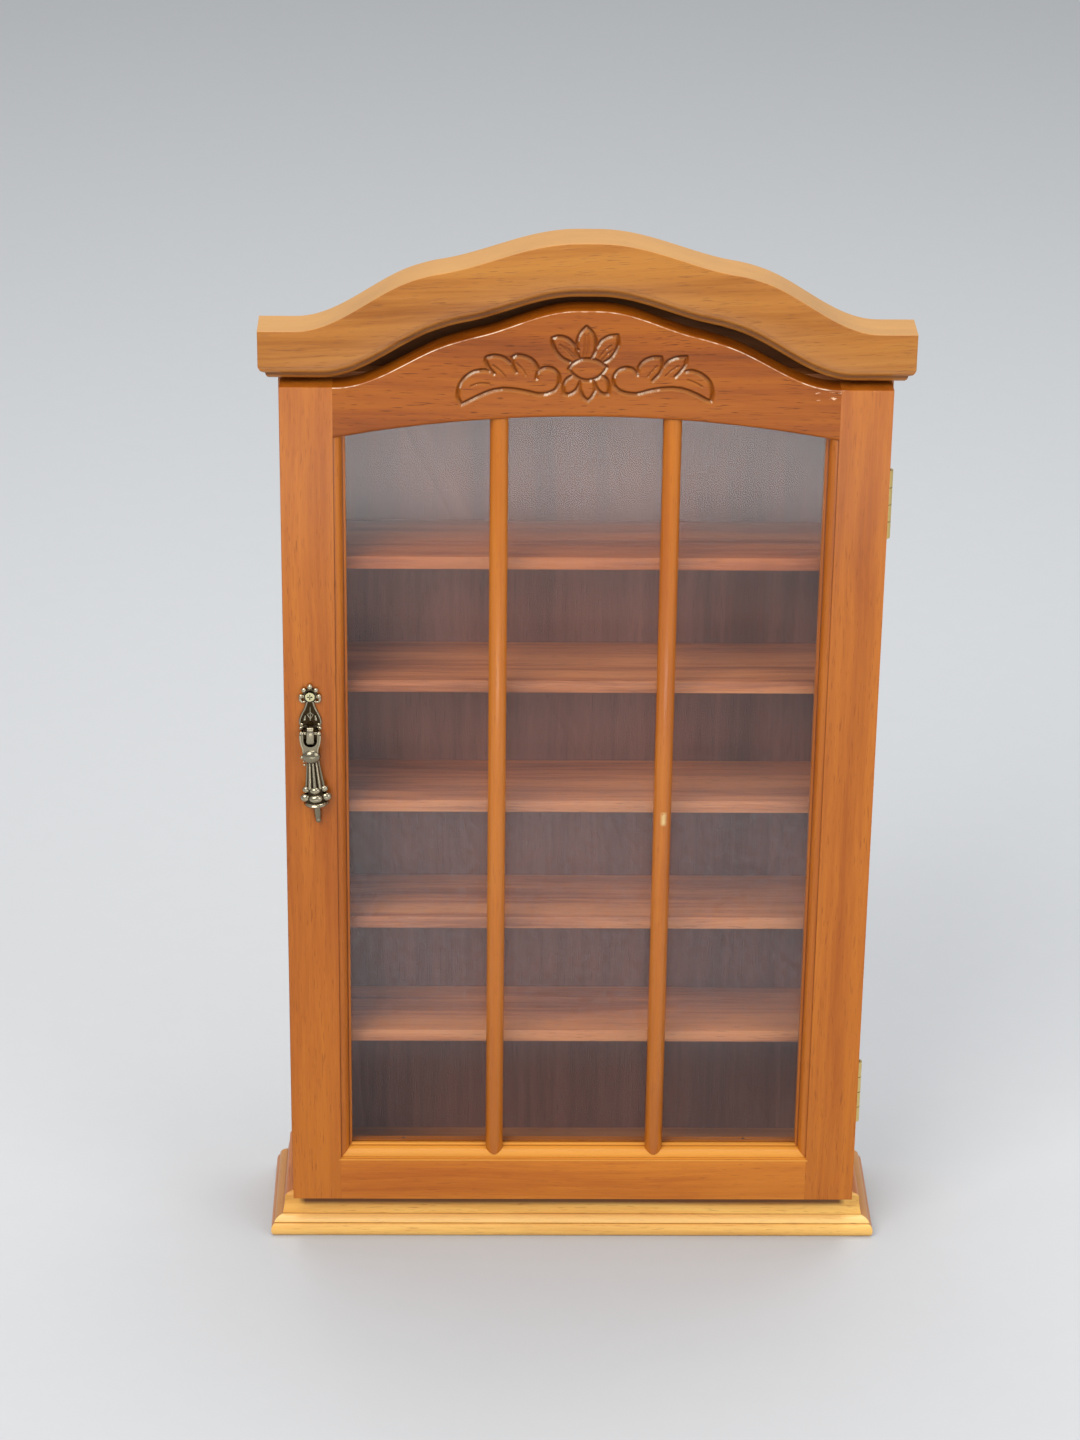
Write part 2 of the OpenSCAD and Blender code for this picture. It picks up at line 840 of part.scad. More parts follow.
module bumper_pads() {
    x = pad_r + 0.5 - door_half;
    color([0.30, 0.30, 0.30]) for (z = [door_foot + pad_inset, door_top - pad_inset])
        rod_y(x, z, door_back, door_back + pad_t, pad_r);
}

// Drop pull: a pierced plate with one screw, and a drop that hangs from its lug
module pull_plate() {
    bead_r = 1.25;
    bead_rise = 0.5;
    half = ear_half;
    tail_t = 0.9;
    tail_half = 3.2;
    tail_l = 7.4;
    color([0.45, 0.40, 0.30]) difference() {
        union() {
            translate([pull_x, 0, pivot_z]) board(door_front - plate_t, door_front) difference() {
                union() {
                    polygon([[-half, 1.5], [half, 1.5], [half, 5.5], [2.4, 11], [1.7, 15], [-1.7, 15], [-2.4, 11],
                        [-half, 5.5]]);
                    translate([0, pull_screw_z - pivot_z + 0.5]) circle(r = 4);
                }
                for (x = [-1.7, 1.7]) translate([x, 6.8]) circle(r = 1.1);
            }
            translate([pull_x, 0, pivot_z]) board(door_front - tail_t, door_front)
                polygon([[-tail_half, 2], [tail_half, 2], [tail_half, tail_half / 2 - tail_l],
                    [tail_half / 2, -tail_l], [-tail_half / 2, -tail_l], [-tail_half, tail_half / 2 - tail_l]]);
            for (p = [[-3.6, 16.4], [3.6, 16.4], [-2.6, 20.2], [2.6, 20.2], [0, 21.6]])
                rod_y(pull_x + p[0], pivot_z + p[1], door_front - plate_t - bead_rise, door_front, bead_r);
            rod_x(pull_x - lug_half, pull_x + lug_half, pivot_y, pivot_z, ear_r);
            block([pull_x - lug_half, pivot_y, pivot_z - 0.5], [pull_x + lug_half, door_front, pivot_z + ear_r]);
            block([pull_x - lug_half, pivot_y - ear_r, pivot_z - 5], [pull_x + lug_half, pivot_y + 0.5, pivot_z]);
        }
        rod_x(pull_x - half, pull_x + half, pivot_y, pivot_z, pull_pin_dia / 2 + snug);
        rod_y(pull_x, pull_screw_z, door_front - 2 * plate_t, door_front + over, pull_screw_r + snug);
    }
}

module pull_screw() {
    head_r = 2.1;
    head_h = 1;
    slot_w = 0.6;
    color([0.74, 0.68, 0.48]) difference() {
        union() {
            rod_y(pull_x, pull_screw_z, door_front - plate_t - head_h, door_front - plate_t, head_r);
            rod_y(pull_x, pull_screw_z, door_front - plate_t, door_front + pull_screw_l, pull_screw_r);
        }
        for (size = [[2 * slot_w, slot_w / 2], [slot_w / 2, 2 * slot_w]])
            block([pull_x - size[0], door_front - plate_t - 2 * head_h, pull_screw_z - size[1]],
                [pull_x + size[0], door_front - plate_t - head_h / 2, pull_screw_z + size[1]]);
    }
}

module pull_pin() {
    color([0.60, 0.53, 0.38]) rod_x(pull_x - ear_half, pull_x + ear_half, pivot_y, pivot_z, pull_pin_dia / 2);
}

// The drop: a fork, a collar and half of a turned tassel with its flat side towards the door
module pull_drop() {
    fork_h = drop_l / 5;
    collar_z = -drop_l * 0.256;
    collar_r = 3;
    collar_side = 0.9;
    // Radius and distance below the pivot, as shares of the drop's length
    tassel = [[0, 0.267], [0.064, 0.267], [0.073, 0.444], [0.1, 0.578], [0.102, 0.733], [0.127, 0.747],
        [0.133, 0.767], [0.129, 0.789], [0.042, 0.811], [0.038, 0.933], [0.029, 0.949], [0.033, 0.973],
        [0.022, 1], [0, 1]];
    // Distance below the pivot, reach to the side and radius of the beads in each row, as the same shares
    bead_rows = [[0.613, 0.1, 0.036], [0.709, 0.111, 0.042]];
    beads = 3;
    row_turn = 60;
    row_depth = 0.85;
    flat_y = drop_back - pivot_y;
    color([0.45, 0.40, 0.30]) translate([pull_x, pivot_y, pivot_z]) difference() {
        union() {
            for (low_x = [-ear_half, ear_half - ear_w]) {
                rod_x(low_x, low_x + ear_w, 0, 0, ear_r);
                block([low_x, -ear_r, -fork_h], [low_x + ear_w, flat_y, 0]);
            }
            block([-ear_half, -ear_r, -fork_h], [ear_half, flat_y, 2.6 - fork_h]);
            rotate([0, -drop_lean, 0]) {
                for (side = [-collar_side, collar_side])
                    rod_y(side, collar_z, -ear_r - 0.7, flat_y, collar_r);
                block([-collar_side, -ear_r - 0.7, collar_z - collar_r], [collar_side, flat_y, collar_z + collar_r]);
                translate([0, flat_y, 0]) {
                    rotate([0, 0, 180]) rotate_extrude(angle = 180)
                        polygon([for (p = tassel) [p[0] * drop_l, -p[1] * drop_l]]);
                    for (row = bead_rows * drop_l)
                        for (i = [0 : beads - 1]) {
                            turn = row_turn * (i - (beads - 1) / 2);
                            translate([row[1] * sin(turn), -row_depth * row[1] * cos(turn), -row[0]])
                                sphere(r = row[2]);
                        }
                }
            }
        }
        rod_x(-ear_half - over, ear_half + over, 0, 0, pull_pin_dia / 2 + running);
    }
}

left_side();
right_side();
top_panel();
bottom_panel();
back_panel();
back_pins();
hanging_rail();
shelf_1();
shelf_2();
shelf_3();
shelf_4();
shelf_5();
head_board();
cornice();
cornice_screws();
base_board();
foot_front();
foot_left();
foot_right();
upper_case_leaf();
lower_case_leaf();
case_leaf_screws();
upper_hinge_pin();
lower_hinge_pin();
catch_body();
catch_magnet();
catch_screws();
left_stile();
right_stile();
top_rail();
bottom_rail();
frame_dowels();
left_bar();
right_bar();
glass_pane();
left_strip();
right_strip();
top_strip();
bottom_strip();
strip_pins();
upper_door_leaf();
lower_door_leaf();
door_leaf_screws();
strike_plate();
strike_screw();
bumper_pads();
pull_plate();
pull_screw();
pull_pin();
pull_drop();
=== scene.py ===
"""Thimble display case: the finished look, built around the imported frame.

Lengths are in millimetres inside the classes and become metres when a piece is made.
X runs to the viewer's right, the front faces -Y and Z is up from the floor.
"""

import logging
import math
from dataclasses import dataclass, field
from enum import Enum
from typing import Callable, Iterable, Sequence

import bmesh
import bpy
import numpy as np
from mathutils import Matrix, Vector


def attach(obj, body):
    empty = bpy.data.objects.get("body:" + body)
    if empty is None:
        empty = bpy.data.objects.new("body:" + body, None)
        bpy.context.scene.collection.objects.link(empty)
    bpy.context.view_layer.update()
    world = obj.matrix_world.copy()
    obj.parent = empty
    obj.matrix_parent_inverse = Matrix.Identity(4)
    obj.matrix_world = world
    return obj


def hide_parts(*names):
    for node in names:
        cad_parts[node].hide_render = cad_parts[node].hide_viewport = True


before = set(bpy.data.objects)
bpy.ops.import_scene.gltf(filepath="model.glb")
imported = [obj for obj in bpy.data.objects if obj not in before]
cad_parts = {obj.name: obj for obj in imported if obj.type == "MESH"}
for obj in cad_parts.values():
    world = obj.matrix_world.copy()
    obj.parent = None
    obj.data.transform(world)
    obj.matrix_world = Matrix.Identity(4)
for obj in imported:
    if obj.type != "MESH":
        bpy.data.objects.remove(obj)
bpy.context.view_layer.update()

LOG = logging.getLogger("thimble_case")
MM = 0.001
Point2 = tuple[float, float]
Point3 = tuple[float, float, float]
Color = tuple[float, float, float]


def tint(red: int, green: int, blue: int) -> Color:
    """Turns a colour as seen, from 0 to 255, into the linear values that a shader takes.

    Args:
        red: Red as seen.
        green: Green as seen.
        blue: Blue as seen.

    Returns:
        The linear colour.
    """
    return tuple(
        (c / 255 / 12.92) if c / 255 <= 0.04045 else ((c / 255 + 0.055) / 1.055) ** 2.4 for c in (red, green, blue)
    )


# Sizes that several pieces share


@dataclass(frozen=True)
class CaseSizes:
    """The planes, levels and widths of the case.

    Attributes:
        door_front: Plane of the door's face.
        door_back: Plane of the door's back.
        side_front: Front edges of the side panels.
        side_back: Rear edges of the side panels.
        cornice_back: Rear face of the cornice.
        half_width: Half of the width over the side panels.
        door_top: Top of the door at its stiles.
        side_top: Top of the side panels, where the cornice starts.
        cornice_end: Top of the cornice at its ends.
        sill: Top of the bottom rail's flat face.
        flat_edge: Edge of a stile's flat face, from the centre line.
        glass_edge: Edge of the glass opening, from the centre line.
        foot_height: Height of the foot moulding.
        foot_reach: Reach of the foot moulding beyond the case.
    """

    door_front: float = -34.75
    door_back: float = -22.75
    side_front: float = -21.75
    side_back: float = 31.75
    cornice_back: float = -14.75
    half_width: float = 132.0
    door_top: float = 428.0
    side_top: float = 430.5
    cornice_end: float = 453.0
    sill: float = 45.0
    flat_edge: float = 108.5
    glass_edge: float = 103.5
    foot_height: float = 19.5
    foot_reach: float = 10.0


SIZES = CaseSizes()


@dataclass(frozen=True)
class ArchedCurve:
    """A curve with two shoulders and a crown, level at both feet.

    Attributes:
        foot: Distance from the centre line to each foot.
        shoulder: Rise from the foot to the shoulder.
        crown: Rise from the shoulder to the crown.
        shoulder_run: Width over which the shoulder rises.
        crown_start: Distance from the foot to the start of the crown's rise.
        crown_flat: Half of the crown's level middle.
    """

    foot: float
    shoulder: float
    crown: float
    shoulder_run: float = 62.0
    crown_start: float = 50.0
    crown_flat: float = 4.0

    @staticmethod
    def ease(share: float) -> float:
        """Gives a smooth rise from 0 to 1 as share goes from 0 to 1."""
        share = min(max(share, 0.0), 1.0)
        return (1 - math.cos(math.pi * share)) / 2

    def rise(self, x: float) -> float:
        """Gives the rise at a distance x from the centre line.

        Args:
            x: Distance from the centre line.

        Returns:
            The rise above the feet.
        """
        crown_run = self.foot - self.crown_start - self.crown_flat
        return self.shoulder * self.ease((self.foot - abs(x)) / self.shoulder_run) + self.crown * self.ease(
            (self.foot - self.crown_start - abs(x)) / crown_run
        )


DOOR_CURVE = ArchedCurve(foot=108.0, shoulder=22.0, crown=13.0)
UNDER_CURVE = ArchedCurve(foot=114.0, shoulder=24.0, crown=13.0)
TOP_CURVE = ArchedCurve(foot=124.5, shoulder=25.0, crown=14.7)


class Grain(Enum):
    """The way the grain of a piece runs, as the turn that lays it along X."""

    ALONG_X = (0.0, 0.0, 0.0)
    ALONG_Y = (0.0, 0.0, -math.pi / 2)
    ALONG_Z = (0.0, math.pi / 2, 0.0)


class Facing(Enum):
    """The plane of an outline: which axes its two numbers lie on."""

    FRONT = 0
    SIDE = 1
    FLOOR = 2


# Node graphs


class Graph:
    """A material with a Principled shader, and short ways to add nodes to it."""

    def __init__(self, name: str) -> None:
        """Makes the material and its shader.

        Args:
            name: Name of the material.
        """
        self.material = bpy.data.materials.new(name)
        self.material.use_nodes = True
        self.tree = self.material.node_tree
        self.tree.nodes.clear()
        self.output = self.tree.nodes.new("ShaderNodeOutputMaterial")
        self.shader = self.tree.nodes.new("ShaderNodeBsdfPrincipled")
        self.tree.links.new(self.shader.outputs["BSDF"], self.output.inputs["Surface"])
        self.place = self.tree.nodes.new("ShaderNodeTexCoord").outputs["Object"]

    def feed(self, node: bpy.types.Node, name: str | int, value: object) -> None:
        """Links a socket to an input, or sets the input's own value.

        Args:
            node: Node that takes the value.
            name: Name or number of the input.
            value: A socket, a number or a colour.
        """
        if isinstance(value, bpy.types.NodeSocket):
            self.tree.links.new(value, node.inputs[name])
        elif isinstance(value, tuple) and len(value) == 3 and node.inputs[name].type == "RGBA":
            node.inputs[name].default_value = (*value, 1.0)
        else:
            node.inputs[name].default_value = value

    def turned(self, vector: object, turn: Point3, shift: Point3 = (0.0, 0.0, 0.0)) -> bpy.types.NodeSocket:
        """Turns and shifts a vector."""
        return self.mapped(vector, (1.0, 1.0, 1.0), turn, shift)

    def mapped(
        self, vector: object, scale: Point3, turn: Point3 = (0.0, 0.0, 0.0), shift: Point3 = (0.0, 0.0, 0.0)
    ) -> bpy.types.NodeSocket:
        """Scales, turns and shifts a vector.

        Args:
            vector: Socket with the vector.
            scale: Scale along each axis.
            turn: Turn about each axis, in radians.
            shift: Shift along each axis.

        Returns:
            The socket of the mapped vector.
        """
        node = self.tree.nodes.new("ShaderNodeMapping")
        self.feed(node, "Vector", vector)
        self.feed(node, "Scale", scale)
        self.feed(node, "Rotation", turn)
        self.feed(node, "Location", shift)
        return node.outputs["Vector"]

    def noise(
        self, vector: object, scale: float, detail: float = 3.0, rough: float = 0.5, twist: float = 0.0
    ) -> bpy.types.NodeSocket:
        """Adds a noise pattern.

        Args:
            vector: Socket with the place.
            scale: Scale of the pattern.
            detail: Number of finer layers.
            rough: Strength of the finer layers.
            twist: Distortion of the pattern.

        Returns:
            The socket of the pattern, from 0 to 1.
        """
        node = self.tree.nodes.new("ShaderNodeTexNoise")
        self.feed(node, "Vector", vector)
        self.feed(node, "Scale", scale)
        self.feed(node, "Detail", detail)
        self.feed(node, "Roughness", rough)
        self.feed(node, "Distortion", twist)
        return node.outputs["Fac"]

    def math(self, operation: str, first: object, second: object = 0.0, clamp: bool = False) -> bpy.types.NodeSocket:
        """Adds a sum, product or other operation.

        Args:
            operation: Blender's name of the operation.
            first: First number or socket.
            second: Second number or socket.
            clamp: Whether the result stays from 0 to 1.

        Returns:
            The socket of the result.
        """
        node = self.tree.nodes.new("ShaderNodeMath")
        node.operation = operation
        node.use_clamp = clamp
        self.feed(node, 0, first)
        self.feed(node, 1, second)
        return node.outputs[0]

    def step(self, value: object, low: float, high: float, start: float = 0.0, end: float = 1.0) -> bpy.types.NodeSocket:
        """Maps a value smoothly from one range to another.

        Args:
            value: Socket with the value.
            low: Value that gives start.
            high: Value that gives end.
            start: Result at low.
            end: Result at high.

        Returns:
            The socket of the result.
        """
        node = self.tree.nodes.new("ShaderNodeMapRange")
        node.interpolation_type = "SMOOTHSTEP"
        self.feed(node, "Value", value)
        self.feed(node, "From Min", low)
        self.feed(node, "From Max", high)
        self.feed(node, "To Min", start)
        self.feed(node, "To Max", end)
        return node.outputs["Result"]

    def mix(self, share: object, first: object, second: object, blend: str = "MIX") -> bpy.types.NodeSocket:
        """Mixes two colours.

        Args:
            share: Share of the second colour.
            first: First colour or socket.
            second: Second colour or socket.
            blend: Blender's name of the blend.

        Returns:
            The socket of the mixed colour.
        """
        node = self.tree.nodes.new("ShaderNodeMix")
        node.data_type = "RGBA"
        node.blend_type = blend
        self.feed(node, 0, share)
        self.feed(node, 6, first)
        self.feed(node, 7, second)
        return node.outputs[2]

    def ramp(self, value: object, stops: Sequence[tuple[float, Color]]) -> bpy.types.NodeSocket:
        """Adds a colour ramp.

        Args:
            value: Socket that picks the colour.
            stops: Place and colour of each stop.

        Returns:
            The socket of the colour.
        """
        node = self.tree.nodes.new("ShaderNodeValToRGB")
        node.color_ramp.interpolation = "B_SPLINE"
        while len(node.color_ramp.elements) < len(stops):
            node.color_ramp.elements.new(1.0)
        for element, (place, color) in zip(node.color_ramp.elements, stops):
            element.position = place
            element.color = (*color, 1.0)
        self.feed(node, "Fac", value)
        return node.outputs["Color"]

    def axis(self, name: str) -> bpy.types.NodeSocket:
        """Gives the piece's own X, Y or Z."""
        node = self.tree.nodes.new("ShaderNodeSeparateXYZ")
        self.feed(node, 0, self.place)
        return node.outputs[name]

    def attribute(self, name: str) -> bpy.types.NodeSocket:
        """Gives a number stored on the mesh."""
        node = self.tree.nodes.new("ShaderNodeAttribute")
        node.attribute_name = name
        return node.outputs["Fac"]

    def bump(self, height: object, depth: float, strength: float = 1.0) -> None:
        """Adds relief to the shader.

        Args:
            height: Socket with the height, from 0 to 1.
            depth: Depth in metres.
            strength: Strength of the relief.
        """
        node = self.tree.nodes.new("ShaderNodeBump")
        self.feed(node, "Height", height)
        self.feed(node, "Distance", depth)
        self.feed(node, "Strength", strength)
        before = self.shader.inputs["Normal"].links
        if before:
            self.tree.links.new(before[0].from_socket, node.inputs["Normal"])
        self.tree.links.new(node.outputs["Normal"], self.shader.inputs["Normal"])

    def set(self, **values: object) -> None:
        """Sets or links the shader's inputs, with underscores for spaces."""
        for name, value in values.items():
            self.feed(self.shader, name.replace("_", " "), value)


# Finishes

# What the painted shade keeps of each colour of the darkest streaks, where the mesh marks shade
PAINTED_SHADE_TINT: Color = (0.15, 0.075, 0.07)


@dataclass(frozen=True)
class WoodFinish:
    """Lacquered wood with streaks, fibres and pores along its grain.

    Attributes:
        slot: The record's material slot.
        dark: Colour of the darkest streaks.
        middle: Colour of most of the surface.
        light: Colour of the palest wood.
        pore: Colour of the pores.
        figure: Strength of the streaks.
        pores: Share of the pores' colour.
        gloss: Roughness of the lacquer.
        coat: Weight of the clear coat.
        polish: Strength of the lacquer's reflections.
        slant: Turn of the grain on the face, in radians.
        bare: Colour where the lacquer is worn through, and of the painted glints on the carving.
        top: Colour of the painted light on upper faces that the mesh marks as pale.
    """

    slot: str
    dark: Color
    middle: Color
    light: Color
    pore: Color
    figure: float = 1.0
    pores: float = 0.5
    gloss: float = 0.38
    coat: float = 0.15
    polish: float = 0.3
    slant: float = 0.0
    bare: Color = tint(232, 184, 142)
    top: Color = tint(184, 142, 82)

    def material(self, label: str, grain: Grain, shift: float, chipped: "ChippedEdge | None" = None) -> bpy.types.Material:
        """Makes the material of one piece.

        Args:
            label: Name of the piece.
            grain: The way its grain runs.
            shift: Place in the pattern, so that no two pieces look the same.
            chipped: An edge where the lacquer is worn through.

        Returns:
            The material.
        """
        graph = Graph(f"{self.slot}_{label}")
        laid = graph.turned(graph.place, grain.value, (shift, shift * 1.7, shift * 0.6))
        laid = graph.turned(laid, (0.0, self.slant, 0.0))
        waver = graph.noise(graph.mapped(laid, (9.0, 30.0, 30.0)), 1.0, 2.0)
        bend = graph.tree.nodes.new("ShaderNodeCombineXYZ")
        lift = graph.math("MULTIPLY", graph.math("SUBTRACT", waver, 0.5), 0.006)
        graph.feed(bend, "Y", lift)
        graph.feed(bend, "Z", lift)
        add = graph.tree.nodes.new("ShaderNodeVectorMath")
        graph.feed(add, 0, laid)
        graph.feed(add, 1, bend.outputs[0])
        laid = add.outputs[0]
        bands = graph.noise(graph.mapped(laid, (3.5, 62.0, 62.0)), 1.0, 3.0, 0.55)
        streaks = graph.noise(graph.mapped(laid, (9.0, 330.0, 330.0)), 1.0, 4.0, 0.62)
        fibres = graph.noise(graph.mapped(laid, (55.0, 1500.0, 1500.0)), 1.0, 2.0, 0.6)
        dashes = graph.noise(graph.mapped(laid, (120.0, 2300.0, 2300.0), shift=(3.0, 5.0, 9.0)), 1.0, 1.0)
        tone = graph.math("ADD", graph.math("MULTIPLY", bands, 0.62), graph.math("MULTIPLY", streaks, 0.38))
        tone = graph.math("ADD", graph.math("MULTIPLY", graph.math("SUBTRACT", tone, 0.5), 1.55 * self.figure), 0.5)
        tone = graph.math("ADD", tone, graph.math("MULTIPLY", graph.math("SUBTRACT", fibres, 0.5), 0.22 * self.figure))
        color = graph.ramp(tone, ((0.24, self.dark), (0.5, self.middle), (0.76, self.light)))
        blot = graph.noise(graph.mapped(laid, (9.0, 14.0, 14.0), shift=(7.0, 1.0, 4.0)), 1.0, 2.0)
        color = graph.mix(graph.step(blot, 0.52, 0.78, 0.0, 0.35), color, self.light, "MIX")
        pore = graph.math("MULTIPLY", graph.step(dashes, 0.62, 0.74), self.pores)
        color = graph.mix(pore, color, self.pore)
        # Painted light: where the mesh marks pale, the wood turns towards the top colour
        color = graph.mix(graph.math("MULTIPLY", graph.attribute("pale"), 0.65), color, self.top)
        if chipped:
            color = chipped.worn(graph, color)
        # Worn edges show bare wood; on the carving the same mark lays painted glints
        color = self._worn_and_glinting(graph, color)
        # Painted shade: where the mesh marks shade, the wood darkens towards a deep red-brown
        color = graph.mix(graph.attribute("shade"), color, tuple(c * s for c, s in zip(self.dark, PAINTED_SHADE_TINT)))
        graph.set(Base_Color=color, Coat_Weight=self.coat, Coat_Roughness=0.16, Specular_IOR_Level=self.polish)
        rough = graph.math("ADD", graph.math("MULTIPLY", streaks, 0.12), self.gloss - 0.06)
        graph.set(Roughness=rough)
        graph.bump(fibres, 0.00006, 0.35)
        graph.bump(graph.math("SUBTRACT", 1.0, graph.step(dashes, 0.6, 0.75)), 0.00009, 0.5)
        graph.bump(graph.noise(graph.place, 28.0, 2.0), 0.0006, 0.25)
        return graph.material

    def _worn_and_glinting(self, graph: Graph, color: bpy.types.NodeSocket) -> bpy.types.NodeSocket:
        """Shows bare wood along the edges that the mesh marks as worn, and the painted glints that the carving marks
        the same way.
        """
        spots = graph.noise(graph.mapped(graph.place, (160.0, 160.0, 160.0)), 1.0, 3.0, 0.65)
        share = graph.math("MULTIPLY", graph.attribute("worn"), graph.step(spots, 0.38, 0.66, 0.15, 1.0))
        return graph.mix(graph.math("MULTIPLY", share, 0.8), color, self.bare)


@dataclass(frozen=True)
class ChippedEdge:
    """A patch of the front where the lacquer is chipped, as bounds in millimetres.

    Attributes:
        left: Left bound.
        right: Right bound.
        low: Lower bound.
        high: Upper bound.
        amount: Share of the patch that is chipped, from 0 to 1.
        depth: How far behind the front the chips reach.
        bare: Colour of the bare wood.
        soft: Width over which the patch fades out.
    """

    left: float
    right: float
    low: float
    high: float
    amount: float = 0.3
    depth: float = 0.9
    bare: Color = tint(238, 196, 156)
    soft: float = 0.3

    def worn(self, graph: Graph, color: bpy.types.NodeSocket) -> bpy.types.NodeSocket:
        """Lays the bare wood over a colour.

        Args:
            graph: The material's graph.
            color: Colour of the sound surface.

        Returns:
            The socket of the chipped colour.
        """
        front = SIZES.door_front
        place = graph.step(graph.axis("Y"), (front + 0.2) * MM, (front + self.depth) * MM, 1.0, 0.0)
        for axis, low, high in (("X", self.left, self.right), ("Z", self.low, self.high)):
            where = graph.axis(axis)
            ends = [(low - self.soft, low + self.soft, 0.0, 1.0), (high - self.soft, high + self.soft, 1.0, 0.0)]
            for start, end, first, last in ends:
                place = graph.math("MULTIPLY", place, graph.step(where, start * MM, end * MM, first, last))
        spots = graph.noise(graph.mapped(graph.place, (260.0, 900.0, 700.0)), 1.0, 3.0, 0.7)
        worn = graph.step(spots, 1.0 - self.amount - 0.08, 1.0 - self.amount + 0.04)
        return graph.mix(graph.math("MULTIPLY", place, worn), color, self.bare)


@dataclass(frozen=True)
class MetalFinish:
    """Metal with fine wear, and a dark patina in its hollows.

    Attributes:
        slot: The record's material slot.
        bright: Colour where it is rubbed.
        dark: Colour in the hollows.
        rough: Roughness where it is rubbed.
        hollow_reach: Reach of the hollows' patina, in metres.
        patina: Strength of the patina.
    """

    slot: str
    bright: Color
    dark: Color
    rough: float = 0.3
    hollow_reach: float = 0.0015
    patina: float = 0.9

    def material(self, label: str) -> bpy.types.Material:
        """Makes the metal's material.

        Args:
            label: Name of the piece.

        Returns:
            The material.
        """
        graph = Graph(f"{self.slot}_{label}")
        grime = graph.noise(graph.place, 420.0, 4.0, 0.6)
        hollow = graph.tree.nodes.new("ShaderNodeAmbientOcclusion")
        hollow.samples = 6
        graph.feed(hollow, "Distance", self.hollow_reach)
        open_share = graph.math("ADD", hollow.outputs["AO"], graph.math("MULTIPLY", graph.math("SUBTRACT", grime, 0.5), 0.5))
        share = graph.math("MULTIPLY", graph.step(open_share, 0.35, 1.0, 1.0, 0.0), self.patina)
        share = graph.math("MAXIMUM", share, graph.attribute("shade"))
        graph.set(Base_Color=graph.mix(share, self.bright, self.dark), Metallic=1.0)
        graph.set(Roughness=graph.math("ADD", graph.math("MULTIPLY", grime, 0.2), self.rough - 0.1))
        graph.bump(graph.noise(graph.place, 1500.0, 2.0), 0.00004, 0.4)
        return graph.material


@dataclass(frozen=True)
class MouldedFinish:
    """Matte plastic or rubber.

    Attributes:
        slot: The record's material slot.
        color: Colour of the surface.
        rough: Roughness of the surface.
    """

    slot: str
    color: Color
    rough: float = 0.6

    def material(self, label: str) -> bpy.types.Material:
        """Makes the material of one piece."""
        graph = Graph(f"{self.slot}_{label}")
        speckle = graph.noise(graph.place, 900.0, 3.0)
        darker = tuple(c * 0.8 for c in self.color)
        graph.set(Base_Color=graph.mix(graph.step(speckle, 0.4, 0.7), darker, self.color))
        graph.set(Roughness=graph.step(speckle, 0.3, 0.7, self.rough - 0.08, self.rough + 0.08))
        graph.bump(speckle, 0.00005, 0.5)
        return graph.material


@dataclass(frozen=True)
class GlassFinish:
    """Thin clear glass with a faint haze of dust, and a paler speckled band of painted reflection across the lower
    panes.

    Attributes:
        slot: The record's material slot.
        clear: Colour of the light that it lets through one face.
        mirror: Share of light that a face mirrors, seen straight on.
        rim: Share that is added at a grazing angle.
        haze: Share of the dust.
        film: Share of the painted reflection, a speckled pale film, added in a band across the lower panes.
        film_band: Heights at which the band starts, is whole, thins and ends, in metres.
        blur: Roughness of its mirror image, which the film of dust softens.
        dust: Colour of the dust and of the painted reflection.
    """

    slot: str = "glass"
    clear: Color = (0.965, 0.98, 0.975)
    mirror: float = 0.024
    rim: float = 0.6
    haze: float = 0.016
    film: float = 0.034
    film_band: tuple[float, float, float, float] = (0.085, 0.125, 0.22, 0.25)
    blur: float = 0.11
    dust: Color = tint(200, 205, 212)

    def material(self, label: str) -> bpy.types.Material:
        """Makes the glass, which lets light through to the shelves without caustics.

        Args:
            label: Name of the piece.

        Returns:
            The material.
        """
        graph = Graph(f"{self.slot}_{label}")
        clear = graph.tree.nodes.new("ShaderNodeBsdfTransparent")
        graph.feed(clear, "Color", self.clear)
        slope = graph.tree.nodes.new("ShaderNodeLayerWeight")
        graph.feed(slope, "Blend", 0.5)
        grazing = graph.math("POWER", slope.outputs["Facing"], 5.0)
        mirrored = graph.math("ADD", graph.math("MULTIPLY", grazing, self.rim), self.mirror)
        gloss = graph.tree.nodes.new("ShaderNodeBsdfGlossy")
        graph.feed(gloss, "Roughness", self.blur)
        skin = graph.tree.nodes.new("ShaderNodeMixShader")
        graph.feed(skin, 0, mirrored)
        graph.tree.links.new(clear.outputs[0], skin.inputs[1])
        graph.tree.links.new(gloss.outputs[0], skin.inputs[2])
        smears = graph.noise(graph.mapped(graph.place, (14.0, 14.0, 9.0)), 1.0, 4.0, 0.6)
        # Dust haze plus the painted reflection in the lower band, as a matte pale layer
        dust_and_reflection_mix = graph.tree.nodes.new("ShaderNodeMixShader")
        graph.feed(dust_and_reflection_mix, 0, graph.math("ADD", graph.step(smears, 0.3, 0.75, self.haze * 0.4, self.haze), self._painted_reflection_share(graph)))
        graph.set(Base_Color=self.dust, Roughness=0.8)
        graph.tree.links.new(skin.outputs[0], dust_and_reflection_mix.inputs[1])
        graph.tree.links.new(graph.shader.outputs[0], dust_and_reflection_mix.inputs[2])
        graph.tree.links.new(dust_and_reflection_mix.outputs[0], graph.output.inputs["Surface"])
        return graph.material

    def _painted_reflection_share(self, graph: Graph) -> bpy.types.NodeSocket:
        """Gives the share of the speckled painted reflection in its band."""
        start, whole, thins, ends = self.film_band
        height = graph.axis("Z")
        band = graph.math("MULTIPLY", graph.step(height, start, whole), graph.step(height, thins, ends, 1.0, 0.0))
        specks = graph.step(graph.noise(graph.place, 260.0, 4.0, 0.7), 0.3, 0.7, 0.55 * self.film, 1.45 * self.film)
        return graph.math("MULTIPLY", band, specks)
